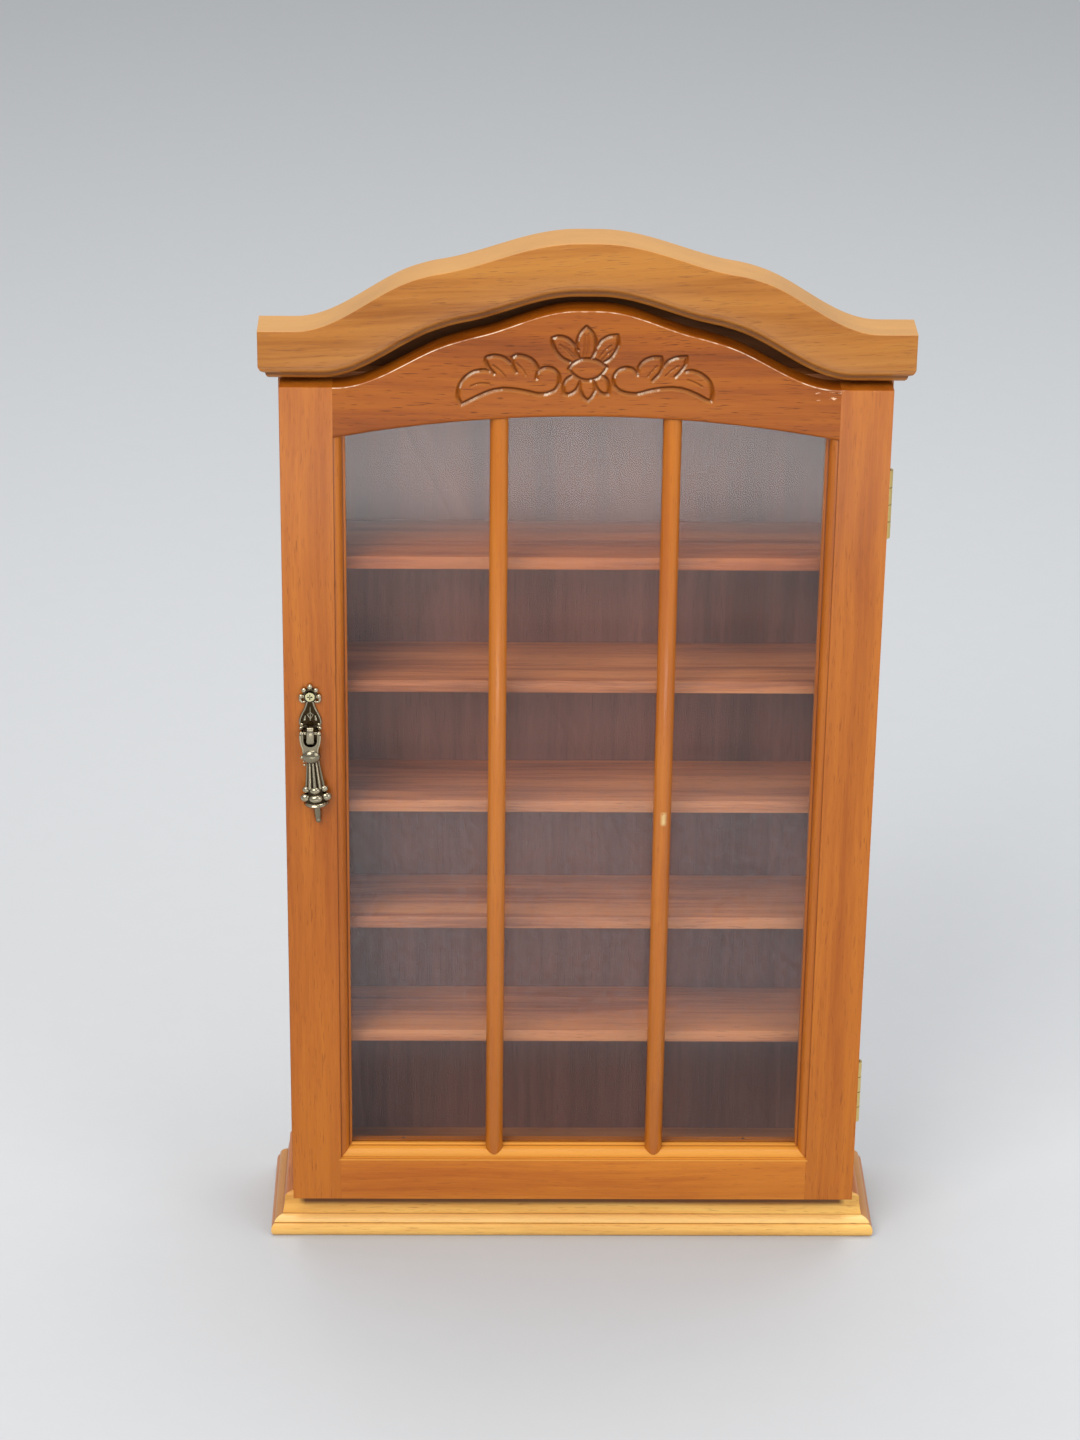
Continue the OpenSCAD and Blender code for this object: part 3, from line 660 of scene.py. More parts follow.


# Each wood's top colour is painted light, laid where the mesh marks pale
CORNICE_WOOD = WoodFinish(
    "cornice_wood", tint(140, 79, 26), tint(175, 110, 44), tint(188, 126, 54), tint(111, 60, 19), slant=math.radians(3)
)
# Unlacquered wood, darkened as painted shade for the head board, which sits in the gap under the cornice
SHADED_RAW_WOOD = WoodFinish(
    "cornice_wood", tint(104, 62, 32), tint(128, 78, 42), tint(146, 94, 54), tint(82, 46, 24), coat=0.0, gloss=0.6
)
STILE_WOOD = WoodFinish(
    "door_wood", tint(159, 80, 15), tint(183, 101, 25), tint(197, 115, 31), tint(132, 64, 11), figure=1.1, pores=0.5
)
SILL_WOOD = WoodFinish(
    "door_wood", tint(173, 89, 19), tint(200, 115, 31), tint(216, 133, 40), tint(142, 68, 15), figure=1.0, pores=0.4, top=tint(235, 165, 66)
)
# The head rail's bare colour also gives the painted glints on its carving
HEAD_WOOD = WoodFinish(
    "door_wood", tint(122, 57, 7), tint(158, 80, 13), tint(171, 94, 17), tint(96, 43, 6), figure=1.3, pores=0.9, coat=0.07, polish=0.2, bare=tint(250, 227, 198), top=tint(211, 168, 109)
)
CASE_WOOD = WoodFinish(
    "case_wood", tint(150, 84, 42), tint(182, 112, 62), tint(200, 130, 76), tint(118, 66, 34)
)
FOOT_WOOD = WoodFinish(
    "foot_wood", tint(217, 154, 70), tint(249, 190, 96), tint(255, 212, 118), tint(189, 125, 57), figure=1.1, pores=0.7, top=tint(255, 213, 143)
)
SHELF_WOOD = WoodFinish(
    "shelf_wood", tint(153, 81, 47), tint(208, 123, 74), tint(225, 144, 89), tint(132, 69, 41), figure=1.5
)
# A darker copy of the shelf wood: painted shade for the last shelf
SHADED_SHELF_WOOD = WoodFinish(
    "shelf_wood", tint(140, 65, 32), tint(190, 100, 53), tint(206, 118, 63), tint(120, 56, 29), figure=1.5
)
BACK_WOOD = WoodFinish(
    "back_wood", tint(102, 62, 51), tint(133, 82, 69), tint(152, 97, 80), tint(84, 48, 42), figure=0.8, coat=0.0, gloss=0.55
)
BAR_WOOD = WoodFinish(
    "bar_wood", tint(170, 88, 18), tint(191, 108, 23), tint(202, 122, 32), tint(145, 74, 14), figure=0.8, pores=0.35, coat=0.5
)
DOWEL_WOOD = WoodFinish(
    "dowel_wood", tint(190, 160, 112), tint(214, 186, 138), tint(226, 202, 156), tint(170, 140, 100), coat=0.0
)
HINGE_BRASS = MetalFinish("hinge_brass", tint(220, 192, 122), tint(56, 38, 14), 0.3, patina=1.0)
# Dark pins, so that the gaps between the knuckles read as shaded: painted shade
SHADED_HINGE_PIN = MetalFinish("hinge_brass", tint(70, 56, 30), tint(20, 14, 6), 0.45)
PULL_BRONZE = MetalFinish("pull_bronze", tint(188, 177, 150), tint(44, 31, 11), 0.22, 0.0009, 0.95)
SCREW_BRASS = MetalFinish("screw_brass", tint(226, 214, 170), tint(60, 46, 22), 0.26)
PULL_SCREW = MetalFinish("screw_brass", tint(206, 198, 154), tint(36, 27, 12), 0.26, 0.0012, 0.95)
PIN_STEEL = MetalFinish("steel", tint(190, 188, 184), tint(100, 98, 96), 0.32)
MAGNET_STEEL = MetalFinish("magnet", tint(110, 110, 112), tint(60, 60, 62), 0.45)
CATCH_BROWN = MouldedFinish("catch_plastic", tint(110, 72, 44), 0.5)
PAD_RUBBER = MouldedFinish("pad_rubber", tint(78, 78, 80), 0.75)


# Mesh work


class Shape:
    """A mesh in millimetres, shaped with bmesh operators and then made a piece."""

    def __init__(self) -> None:
        """Starts with nothing."""
        self.bm = bmesh.new()

    @staticmethod
    def _place(facing: Facing, point: Point2, depth: float) -> Vector:
        """Puts a point of an outline at a depth of its plane."""
        u, v = point
        if facing is Facing.FRONT:
            return Vector((u, depth, v))
        if facing is Facing.SIDE:
            return Vector((depth, u, v))
        return Vector((u, v, depth))

    def _ring(self, points: Iterable[Vector]) -> tuple[list, list]:
        """Adds a closed ring of vertices and edges."""
        verts = [self.bm.verts.new(p) for p in points]
        edges = [self.bm.edges.new((a, b)) for a, b in zip(verts, verts[1:] + verts[:1])]
        return verts, edges

    def _drawn(self, verts: list, edges: list, points: Sequence[Vector]) -> tuple[list, list]:
        """Extrudes a ring's edges and moves the new ring to its points."""
        fresh = bmesh.ops.extrude_edge_only(self.bm, edges=edges)["geom"]
        new_verts = {v for v in fresh if isinstance(v, bmesh.types.BMVert)}
        moved = []
        for vert, point in zip(verts, points):
            twin = next(e.other_vert(vert) for e in vert.link_edges if e.other_vert(vert) in new_verts)
            moved.append(twin)
        for twin, point in zip(moved, points):
            twin.co = point
        drawn = [self.bm.edges.get((a, b)) for a, b in zip(moved, moved[1:] + moved[:1])]
        return moved, drawn

    def loft(self, rings: Sequence[Sequence[Vector]], capped: bool = True, closed: bool = False) -> "Shape":
        """Joins rings of equally many points into a skin.

        Args:
            rings: The rings, in order.
            capped: Whether the first and last ring get a face.
            closed: Whether the last ring joins the first.

        Returns:
            The shape itself.
        """
        verts, edges = self._ring([Vector(p) for p in rings[0]])
        first_verts, first_edges = verts, edges
        for ring in rings[1:]:
            verts, edges = self._drawn(verts, edges, [Vector(p) for p in ring])
        if closed:
            bmesh.ops.bridge_loops(self.bm, edges=first_edges + edges)
        elif capped:
            self.bm.faces.new(first_verts)
            self.bm.faces.new(verts)
        return self

    def prism(self, outline: Sequence[Point2], low: float, high: float, facing: Facing) -> "Shape":
        """Makes an outline solid between two depths.

        Args:
            outline: The outline's points.
            low: First depth.
            high: Last depth.
            facing: The outline's plane.

        Returns:
            The shape itself.
        """
        return self.loft([[self._place(facing, p, depth) for p in outline] for depth in (low, high)])

    def ball(self, centre: Point3, radius: float, squash: Point3 = (1.0, 1.0, 1.0), rings: int = 10) -> "Shape":
        """Adds a ball or a squashed ball.

        Args:
            centre: Its centre.
            radius: Its radius.
            squash: Scale along each axis.
            rings: Number of rings from pole to pole.

        Returns:
            The shape itself.
        """
        matrix = Matrix.Translation(centre) @ Matrix.Diagonal((*squash, 1.0))
        bmesh.ops.create_uvsphere(self.bm, u_segments=2 * rings, v_segments=rings, radius=radius, matrix=matrix)
        return self

    def tube(self, path: Sequence[Point3], radius: float | Callable[[float], float], sides: int = 10, closed: bool = False) -> "Shape":
        """Sweeps a circle along a path.

        Args:
            path: Points of the path.
            radius: Radius, or a rule that gives it from the share of the path.
            sides: Number of sides.
            closed: Whether the path closes.

        Returns:
            The shape itself.
        """
        points = [Vector(p) for p in path]
        count = len(points)
        rings = []
        normal = None
        for i, point in enumerate(points):
            ahead = points[(i + 1) % count] if closed or i < count - 1 else point
            behind = points[i - 1] if closed or i > 0 else point
            along = (ahead - behind).normalized()
            if normal is None:
                normal = along.orthogonal().normalized()
            normal = (normal - along * normal.dot(along)).normalized()
            across = along.cross(normal)
            size = radius(i / (count - 1)) if callable(radius) else radius
            turns = [2 * math.pi * k / sides for k in range(sides)]
            rings.append([point + size * (math.cos(a) * normal + math.sin(a) * across) for a in turns])
        return self.loft(rings, closed=closed)

    def flattened(self) -> "Shape":
        """Makes the flat faces of a triangulated shape whole."""
        bmesh.ops.dissolve_limit(
            self.bm, angle_limit=math.radians(1.0), verts=self.bm.verts, edges=self.bm.edges, use_dissolve_boundaries=False
        )
        return self

    def softened(self, width: float, sharper_than: float = 40.0, segments: int = 2, longer_than: float = 0.0) -> "Shape":
        """Rounds every edge that is sharper than an angle.

        Args:
            width: Width of the rounding.
            sharper_than: Smallest angle between the faces, in degrees.
            segments: Number of steps of the rounding.
            longer_than: Edges shorter than this stay as they are.

        Returns:
            The shape itself.
        """
        limit = math.radians(sharper_than)
        edges = [e for e in self.bm.edges if len(e.link_faces) == 2 and e.calc_face_angle(0.0) > limit]
        edges = [e for e in edges if e.calc_length() > longer_than]
        bmesh.ops.bevel(
            self.bm, geom=edges, offset=width, segments=segments, profile=0.5, affect="EDGES", material=-1, clamp_overlap=True
        )
        return self

    def mark(self, name: str, rule: Callable[[bmesh.types.BMVert], float]) -> "Shape":
        """Stores a number at each vertex, for the finish to use.

        Args:
            name: Name of the number.
            rule: Gives the number of a vertex.

        Returns:
            The shape itself.
        """
        layer = self.bm.verts.layers.float.get(name) or self.bm.verts.layers.float.new(name)
        for vert in self.bm.verts:
            vert[layer] = rule(vert)
        return self

    def toned(self, value: float) -> "Shape":
        """Stores how dark the points added since the last call are."""
        layer = self.bm.verts.layers.float.get("shade") or self.bm.verts.layers.float.new("shade")
        for vert in self.bm.verts:
            if not vert.tag:
                vert[layer] = value
                vert.tag = True
        return self

    def trimmed(self, point: Point3, outwards: Point3) -> "Shape":
        """Cuts the shape with a plane and closes the cut.

        Args:
            point: A point of the plane.
            outwards: Direction in which the shape is cut away.

        Returns:
            The shape itself.
        """
        geom = [*self.bm.verts, *self.bm.edges, *self.bm.faces]
        cut = bmesh.ops.bisect_plane(self.bm, geom=geom, plane_co=point, plane_no=outwards, clear_outer=True)
        edges = [e for e in cut["geom_cut"] if isinstance(e, bmesh.types.BMEdge)]
        bmesh.ops.triangle_fill(self.bm, edges=edges, use_beauty=True)
        return self

    def joined(self, other: "Shape") -> "Shape":
        """Adds another shape to this one."""
        copy = bpy.data.meshes.new("copy")
        other.bm.to_mesh(copy)
        other.bm.free()
        self.bm.from_mesh(copy)
        bpy.data.meshes.remove(copy)
        return self

    def cleaned(self, reach: float = 0.002) -> "Shape":
        """Merges double points and turns all faces outwards."""
        bmesh.ops.remove_doubles(self.bm, verts=self.bm.verts, dist=reach)
        bmesh.ops.dissolve_degenerate(self.bm, edges=self.bm.edges, dist=reach / 2)
        bmesh.ops.recalc_face_normals(self.bm, faces=self.bm.faces)
        return self

    def moved(self, matrix: Matrix) -> "Shape":
        """Turns or moves all that has been made so far."""
        bmesh.ops.transform(self.bm, matrix=matrix, verts=self.bm.verts)
        return self

    def piece(self, name: str, smooth_below: float = 35.0) -> bpy.types.Object:
        """Makes the piece, in metres and with its place in its mesh.

        Args:
            name: Name of the piece.
            smooth_below: Edges flatter than this angle are shaded smooth.

        Returns:
            The new object.
        """
        limit = math.radians(smooth_below)
        for face in self.bm.faces:
            face.smooth = True
        for edge in self.bm.edges:
            edge.smooth = edge.calc_face_angle(0.0) < limit
        bmesh.ops.scale(self.bm, vec=(MM, MM, MM), verts=self.bm.verts)
        mesh = bpy.data.meshes.new(name)
        self.bm.to_mesh(mesh)
        self.bm.free()
        made = bpy.data.objects.new(name, mesh)
        bpy.context.scene.collection.objects.link(made)
        return made


def from_node(node: str) -> Shape:
    """Starts a shape from a copy of a CAD node.

    Args:
        node: Name of the node.

    Returns:
        The shape.
    """
    shape = Shape()
    shape.bm.from_mesh(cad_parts[node].data)
    bmesh.ops.scale(shape.bm, vec=(1 / MM, 1 / MM, 1 / MM), verts=shape.bm.verts)
    bmesh.ops.remove_doubles(shape.bm, verts=shape.bm.verts, dist=0.002)
    return shape


class Part:
    """A sub-assembly that adds its pieces to the object."""

    body = "case"

    def add(
        self,
        shape: Shape,
        name: str,
        node: str | Sequence[str],
        finish: WoodFinish | MetalFinish | MouldedFinish,
        material: bpy.types.Material,
        smooth_below: float = 35.0,
    ) -> bpy.types.Object:
        """Makes a piece, dresses it and lets it stand for its CAD nodes.

        Args:
            shape: The piece's shape.
            name: Its name.
            node: The node or nodes that it stands for.
            finish: Its finish; not used.
            material: Its material.
            smooth_below: Edges flatter than this angle are shaded smooth.

        Returns:
            The piece.
        """
        made = shape.piece(name, smooth_below)
        made.data.materials.append(material)
        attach(made, self.body)
        nodes = [node] if isinstance(node, str) else list(node)
        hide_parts(*nodes)
        LOG.info("%s stands for %s, %d faces", name, ", ".join(nodes), len(made.data.polygons))
        return made

    def soften(
        self, node: str, finish: WoodFinish, grain: Grain, shift: float, width: float = 0.4, chipped: ChippedEdge | None = None
    ) -> bpy.types.Object:
        """Gives a board its rounded edges and its grain.

        Args:
            node: The CAD node.
            finish: Its wood.
            grain: The way its grain runs.
            shift: Place in the wood's pattern.
            width: Width of the rounding.
            chipped: An edge that is worn.

        Returns:
            The piece.
        """
        shape = from_node(node).flattened().softened(width, 50.0)
        material = finish.material(node, grain, shift, chipped)
        return self.add(shape, f"{node}_board", node, finish, material)

    def dress(self, nodes: Iterable[str], material: bpy.types.Material) -> None:
        """Gives CAD nodes a material.

        Args:
            nodes: Names of the nodes.
            material: Their material.
        """
        for node in nodes:
            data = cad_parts[node].data
            data.materials.clear()
            data.materials.append(material)
            LOG.info("%s dressed", node)


def arc(centre: Point2, radius: Point2, start: float, end: float, steps: int) -> list[Point2]:
    """Gives points on part of an ellipse.

    Args:
        centre: Its centre.
        radius: Its two radii.
        start: First angle in degrees.
        end: Last angle in degrees.
        steps: Number of steps.

    Returns:
        The points.
    """
    angles = [math.radians(start + (end - start) * i / steps) for i in range(steps + 1)]
    return [(centre[0] + radius[0] * math.cos(a), centre[1] + radius[1] * math.sin(a)) for a in angles]


def spline(points: Sequence[Point2], steps: int = 8) -> list[Point2]:
    """Gives a smooth line through points.

    Args:
        points: The points.
        steps: Steps from one point to the next.

    Returns:
        The line's points.
    """
    line = []
    ends = [points[0], *points, points[-1]]
    for i in range(len(points) - 1):
        a, b, c, d = (np.array(p) for p in ends[i : i + 4])
        for k in range(steps):
            t = k / steps
            line.append(tuple(0.5 * (2 * b + (c - a) * t + (2 * a - 5 * b + 4 * c - d) * t * t + (3 * b - a - 3 * c + d) * t**3)))
    return [*line, tuple(points[-1])]


# The case


@dataclass
class Cornice(Part):
    """The curved cornice with a routed lower edge that returns round both ends.

    Attributes:
        half_length: Half of its length.
        rout: Inset and lift of each point of the routed edge, from below.
        arris: Rounding of its upper and end edges.
        columns: Number of points along each curve.
    """

    half_length: float = 140.0
    rout: tuple[Point2, ...] = (
        (6.2, 0.0), (5.3, 0.12), (4.3, 0.55), (3.6, 1.3), (3.2, 2.2), (3.05, 3.1), (2.6, 3.25), (2.1, 3.6),
        (1.5, 3.95), (0.95, 4.55), (0.5, 5.4), (0.15, 6.1), (0.0, 6.6),
    )
    arris: float = 0.5
    columns: int = 150

    def outline(self, lift: float, trim: float = 0.0) -> list[Point2]:
        """Gives the cornice's outline at the depth where its lower edge has risen by lift.

        Args:
            lift: Rise of the lower edge above the underside.
            trim: Distance that the upper and end edges stand in.

        Returns:
            The outline, from the left end along the underside.
        """
        levels = [max(point[1], lift) for point in self.rout]
        insets = [max(next(p[0] for p in self.rout if p[1] >= level - 1e-9), trim) for level in levels]
        inner = self.half_length - max(insets[0], trim)
        xs = [UNDER_CURVE.foot * (2 * i / self.columns - 1) for i in range(self.columns + 1)]
        points = [(x, SIZES.side_top + lift + UNDER_CURVE.rise(x)) for x in xs]
        points = [(-inner, SIZES.side_top + lift), *points, (inner, SIZES.side_top + lift)]
        right = [(self.half_length - i, SIZES.side_top + level) for i, level in zip(insets[1:], levels[1:])]
        top_x = self.half_length - trim
        tops = [TOP_CURVE.foot * (1 - 2 * i / self.columns) for i in range(self.columns + 1)]
        top = [(x, SIZES.cornice_end - trim + TOP_CURVE.rise(x)) for x in tops]
        top = [(top_x, SIZES.cornice_end - trim), *top, (-top_x, SIZES.cornice_end - trim)]
        left = [(-x, z) for x, z in reversed(right)]
        return points + right + top + left

    def _pale(self, vert: bmesh.types.BMVert) -> float:
        """Marks the upper face for painted light, which makes it paler."""
        return 1.0 if vert.co.z > SIZES.cornice_end - 0.05 + TOP_CURVE.rise(vert.co.x) else 0.0

    def _shade(self, vert: bmesh.types.BMVert) -> float:
        """Marks painted shade on the underside and in the quirk of the routed edge."""
        lift = vert.co.z - SIZES.side_top - UNDER_CURVE.rise(vert.co.x)
        depth = vert.co.y - SIZES.door_front
        if depth > self.rout[1][0] + 0.2 and lift < 0.1:
            return 0.85
        return 0.55 if 2.9 < depth < 3.4 and 1.2 < lift < 3.2 else 0.0

    def build(self) -> None:
        """Builds and dresses the cornice and its screws."""
        layers = [(SIZES.door_front, self.rout[-1][1], self.arris), (SIZES.door_front + 0.15, self.rout[-1][1], 0.15)]
        layers += [(SIZES.door_front + max(inset, 0.5), lift, 0.0) for inset, lift in reversed(self.rout)]
        layers.append((SIZES.cornice_back, 0.0, 0.0))
        rings = [[Vector((x, depth, z)) for x, z in self.outline(lift, trim)] for depth, lift, trim in layers]
        shape = Shape().loft(rings).cleaned()
        # Painted light on the upper face and painted shade under the routed edge
        shape.mark("pale", self._pale).mark("shade", self._shade)
        self.add(shape, "cornice_board", "cornice", CORNICE_WOOD, CORNICE_WOOD.material("cornice", Grain.ALONG_X, 0.31))
        # The head board takes the darkened wood: painted shade in the gap under the cornice
        self.soften("head_board", SHADED_RAW_WOOD, Grain.ALONG_X, 1.7)
        self.dress(["cornice_screws"], PIN_STEEL.material("cornice_screws"))


@dataclass
class Carcass(Part):
    """The sides, panels, back, shelves and hanging rail.

    Attributes:
        shelves: Number of shelves.
    """

    shelves: int = 5

    def build(self) -> None:
        """Builds and dresses the boards."""
        self.soften("left_side", CASE_WOOD, Grain.ALONG_Z, 0.11)
        self.soften("right_side", CASE_WOOD, Grain.ALONG_Z, 0.47)
        self.soften("top_panel", CASE_WOOD, Grain.ALONG_X, 0.83)
        self.soften("bottom_panel", CASE_WOOD, Grain.ALONG_X, 1.13)
        self.soften("hanging_rail", CASE_WOOD, Grain.ALONG_X, 1.51)
        self.soften("base_board", CASE_WOOD, Grain.ALONG_X, 1.91)
        for i in range(1, self.shelves + 1):
            # The last shelf takes the darker copy of the shelf wood: painted shade
            wood = SHADED_SHELF_WOOD if i == self.shelves else SHELF_WOOD
            self.soften(f"shelf_{i}", wood, Grain.ALONG_X, 0.37 * i + 2.0, 0.35)
        self.soften("back_panel", BACK_WOOD, Grain.ALONG_Z, 0.71, 0.2)
        self.dress(["back_pins"], PIN_STEEL.material("back_pins"))


@dataclass
class FootMoulding(Part):
    """The moulding round the foot, mitred at its two front corners.

    Attributes:
        frieze: Reach of the flared band under the rounded top.
        flare: Reach that the band gains down to the bead.
        bead: Height of the bullnose, under the bead.
        bead_top: Height of the bead's top.
        line: Darkness of the painted shade in the grooves.
        gloom: Darkness of the painted shadow that the door casts on the front strip.
        contact: Height of that painted shadow.
        gap_half: Half of its length.
    """

    frieze: float = 3.5
    flare: float = 1.3
    bead: float = 6.3
    bead_top: float = 9.4
    line: float = 0.35
    gloom: float = 0.9
    contact: float = 6.0
    gap_half: float = 126.0

    def section(self) -> list[Point3]:
        """Gives the moulding's section, from the floor up.

        Returns:
            Reach, height and darkness of the painted shade at each point.
        """
        reach, height, bead, top = SIZES.foot_reach, SIZES.foot_height, self.bead, self.bead_top
        points = [(0.0, 0.0), (reach - 1.6, 0.0)]
        points += arc((reach - 1.9, bead / 2), (1.9, bead / 2), -80, 84, 14)
        quirk = [(reach - 2.8, bead), (reach - 2.9, bead + 0.4)]
        points += quirk
        points += arc((reach - 5.3, bead + 0.3), (3.8, top - bead - 0.3), 6, 84, 10)
        upper = [(self.frieze + self.flare - 0.35, top + 0.1), (self.frieze + self.flare - 0.4, top + 0.4)]
        points += upper
        points += [(self._face(z), z) for z in (top + 0.5, top + 1.2, top + 2.2, top + 3.2)]
        points += [(self._face(z), z) for z in (height - drop for drop in (self.contact, self.contact - 1.2, self.contact - 2.2))]
        points += arc((self.frieze - 1.6, height - 1.6), (1.6, 1.6), 0, 86, 8)
        points += [(self.frieze - 1.8, height), (0.0, height)]
        lines = quirk + upper
        return [(p, z, self.line if (p, z) in lines else 0.0) for p, z in points]

    def _face(self, height: float) -> float:
        """Gives the reach of the flared band at a height."""
        top = SIZES.foot_height - 1.6
        return self.frieze + self.flare * ((top - height) / (top - self.bead_top)) ** 1.7

    def _gloom(self, vert: bmesh.types.BMVert) -> float:
        """Gives the painted shadow of the door at a point of the front strip."""
        below = min(max((vert.co.z - SIZES.foot_height + self.contact) / 2.2, 0.0), 1.0)
        return self.gloom * below * (1.0 if abs(vert.co.x) < self.gap_half else 0.0)

    @staticmethod
    def _strip(rings: list[list[Vector]], section: list[Point3]) -> Shape:
        """Joins a section's rings, paints shade in its grooves and paints light on its bead and bullnose."""
        shape = Shape().loft(rings).cleaned()
        dark = {round(z, 3): tone for _, z, tone in section}
        # Painted light on the bead and, fainter, on the bullnose
        shape.mark("pale", lambda v: 0.8 if 7.0 < v.co.z < 9.45 else 0.2 if 0.5 < v.co.z < 6.3 else 0.0)
        return shape.mark("shade", lambda v: dark.get(round(v.co.z, 3), 0.0))

    def build(self) -> None:
        """Builds and dresses the three strips."""
        half, front, back = SIZES.half_width, SIZES.side_front, SIZES.side_back
        section = self.section()
        ends = [[Vector((side * (half + p), front - p, z)) for p, z, _ in section] for side in (-1, 1)]
        for x in (-self.gap_half - 3.0, 0.1 - self.gap_half, self.gap_half - 0.1, self.gap_half + 3.0):
            ends.insert(-1, [Vector((x, front - p, z)) for p, z, _ in section])
        shape = self._strip(ends, section)
        # Painted shadow of the door along the top of the front strip, only under the door
        shade = shape.bm.verts.layers.float.get("shade")
        for vert in shape.bm.verts:
            vert[shade] = max(vert[shade], self._gloom(vert))
        self.add(shape, "foot_front_strip", "foot_front", FOOT_WOOD, FOOT_WOOD.material("front", Grain.ALONG_X, 0.23))
        for side, word in ((-1, "left"), (1, "right")):
            rings = [
                [Vector((side * (half + p), front - p, z)) for p, z, _ in section],
                [Vector((side * (half + p), back, z)) for p, z, _ in section],
            ]
            shape = self._strip(rings, section)
            material = CASE_WOOD.material(f"foot_{word}", Grain.ALONG_Y, 0.9 + side * 0.3)
            self.add(shape, f"foot_{word}_strip", f"foot_{word}", FOOT_WOOD, material)


# The door


@dataclass(frozen=True)
class Stroke:
    """A carved line.

    Attributes:
        points: Points of the line, from the flower's centre.
        width: Half of the cut's width.
        depth: Depth of the cut.
    """

    points: tuple[Point2, ...]
    width: float = 1.2
    depth: float = 1.15


@dataclass(frozen=True)
class CarvedFlower:
    """The flower with a leaf spray on each side, as carved lines.

    Attributes:
        vein_width: Half of a vein's width.
        vein_depth: Depth of a vein.
    """

    vein_width: float = 0.75
    vein_depth: float = 0.42

    def strokes(self) -> list[Stroke]:
        """Gives every line of the carving.

        Returns:
            The lines, from the flower's centre.
        """
        return [*self._flower(), *self._left_spray(), *self._right_spray()]

    def _vein(self, *points: Point2) -> Stroke:
        """Gives a fine line."""
        return Stroke(points, self.vein_width, self.vein_depth)

    def _flower(self) -> list[Stroke]:
        """Gives the eye, the six petals and their veins."""
        return [
            Stroke(((-7.9, 3.8), (-6.2, 6.3), (-3.2, 8.1), (0.1, 8.5), (4.0, 7.7), (6.5, 6.2), (8.1, 4.8))),
            Stroke(((-7.9, 3.8), (-6.1, 1.4), (-3.1, -0.6), (0.3, -1.2), (4.1, -0.2), (6.6, 2.1), (8.1, 4.8))),
            Stroke(((-3.5, 8.4), (-4.7, 11.7), (-4.6, 15.8), (-3.2, 20.0), (-0.7, 22.9))),
            Stroke(((-0.7, 22.9), (1.8, 20.3), (3.4, 16.3), (3.3, 12.2), (1.6, 8.4))),
            Stroke(((-4.2, 12.4), (-6.3, 15.5), (-9.3, 17.9), (-12.7, 18.5), (-15.1, 17.7))),
            Stroke(((-15.1, 17.7), (-14.8, 14.8), (-13.0, 11.2), (-10.5, 8.6), (-7.5, 7.0))),
            Stroke(((4.1, 13.8), (5.9, 16.8), (8.9, 18.7), (12.4, 19.2))),
            Stroke(((12.4, 19.2), (12.9, 15.4), (11.5, 11.4), (9.1, 8.2), (7.2, 7.2))),
            Stroke(((-2.9, -1.1), (-3.3, -3.6), (-2.8, -6.3), (-1.3, -9.0), (0.4, -10.4))),
            Stroke(((0.4, -10.4), (2.1, -8.6), (3.4, -5.8), (3.3, -3.1), (2.8, -1.1))),
            Stroke(((-6.3, 0.9), (-8.6, -0.7), (-10.1, -3.6), (-9.8, -7.3))),
            Stroke(((-9.8, -7.3), (-7.3, -7.4), (-4.7, -5.6), (-3.3, -2.9))),
            Stroke(((6.2, 1.0), (8.2, -0.8), (9.3, -4.0), (9.1, -7.2))),
            Stroke(((9.1, -7.2), (6.8, -7.3), (4.6, -5.6), (3.2, -3.1))),
            self._vein((-1.5, 19.4), (-1.2, 14.5), (-1.7, 9.5)),
            self._vein((0.4, 19.8), (0.3, 14.9), (-0.4, 9.5)),
            self._vein((-9.3, 13.5), (-6.3, 10.8), (-3.7, 7.7)),
            self._vein((-11.8, 14.8), (-8.8, 12.2), (-5.8, 8.8)),
            self._vein((9.8, 14.5), (7.3, 12.3), (5.0, 9.3)),
            self._vein((10.7, 12.7), (8.2, 10.5), (6.1, 8.0)),
        ]

    def _left_spray(self) -> list[Stroke]:
        """Gives the left spray: a long leaf, two lobes and a scroll."""
        return [
            Stroke(((-53.4, -12.3), (-55.0, -8.9), (-54.3, -3.9), (-51.8, 0.0), (-48.2, 2.5), (-43.9, 3.2), (-41.6, 2.7))),
            Stroke(((-39.7, 1.6), (-42.0, 4.5), (-43.2, 7.5))),
            Stroke(((-43.2, 7.5), (-42.7, 9.0), (-39.3, 9.8), (-35.5, 8.8), (-32.5, 6.4))),
            Stroke(((-30.3, 2.3), (-31.7, 5.3), (-32.0, 8.9))),
            Stroke(((-32.0, 8.9), (-30.0, 10.0), (-26.2, 9.4), (-22.7, 7.1), (-20.6, 3.4))),
            Stroke(((-21.6, -0.5), (-20.9, 2.6), (-18.5, 4.3), (-15.1, 4.2), (-12.4, 1.6), (-12.0, -2.5), (-13.7, -5.7))),
            Stroke(((-13.7, -5.7), (-17.1, -7.2), (-20.9, -7.5), (-25.2, -6.5), (-30.7, -5.5), (-35.8, -5.1))),
            Stroke(((-35.8, -5.1), (-40.9, -6.2), (-46.0, -8.4), (-50.7, -10.9), (-53.4, -12.3))),
            self._vein((-49.4, -4.0), (-46.0, -2.8), (-41.8, -2.9)),
            self._vein((-40.1, 5.4), (-37.1, 3.0), (-35.0, 0.5)),
            self._vein((-30.2, 6.4), (-27.8, 3.9), (-26.1, 1.0)),
        ]

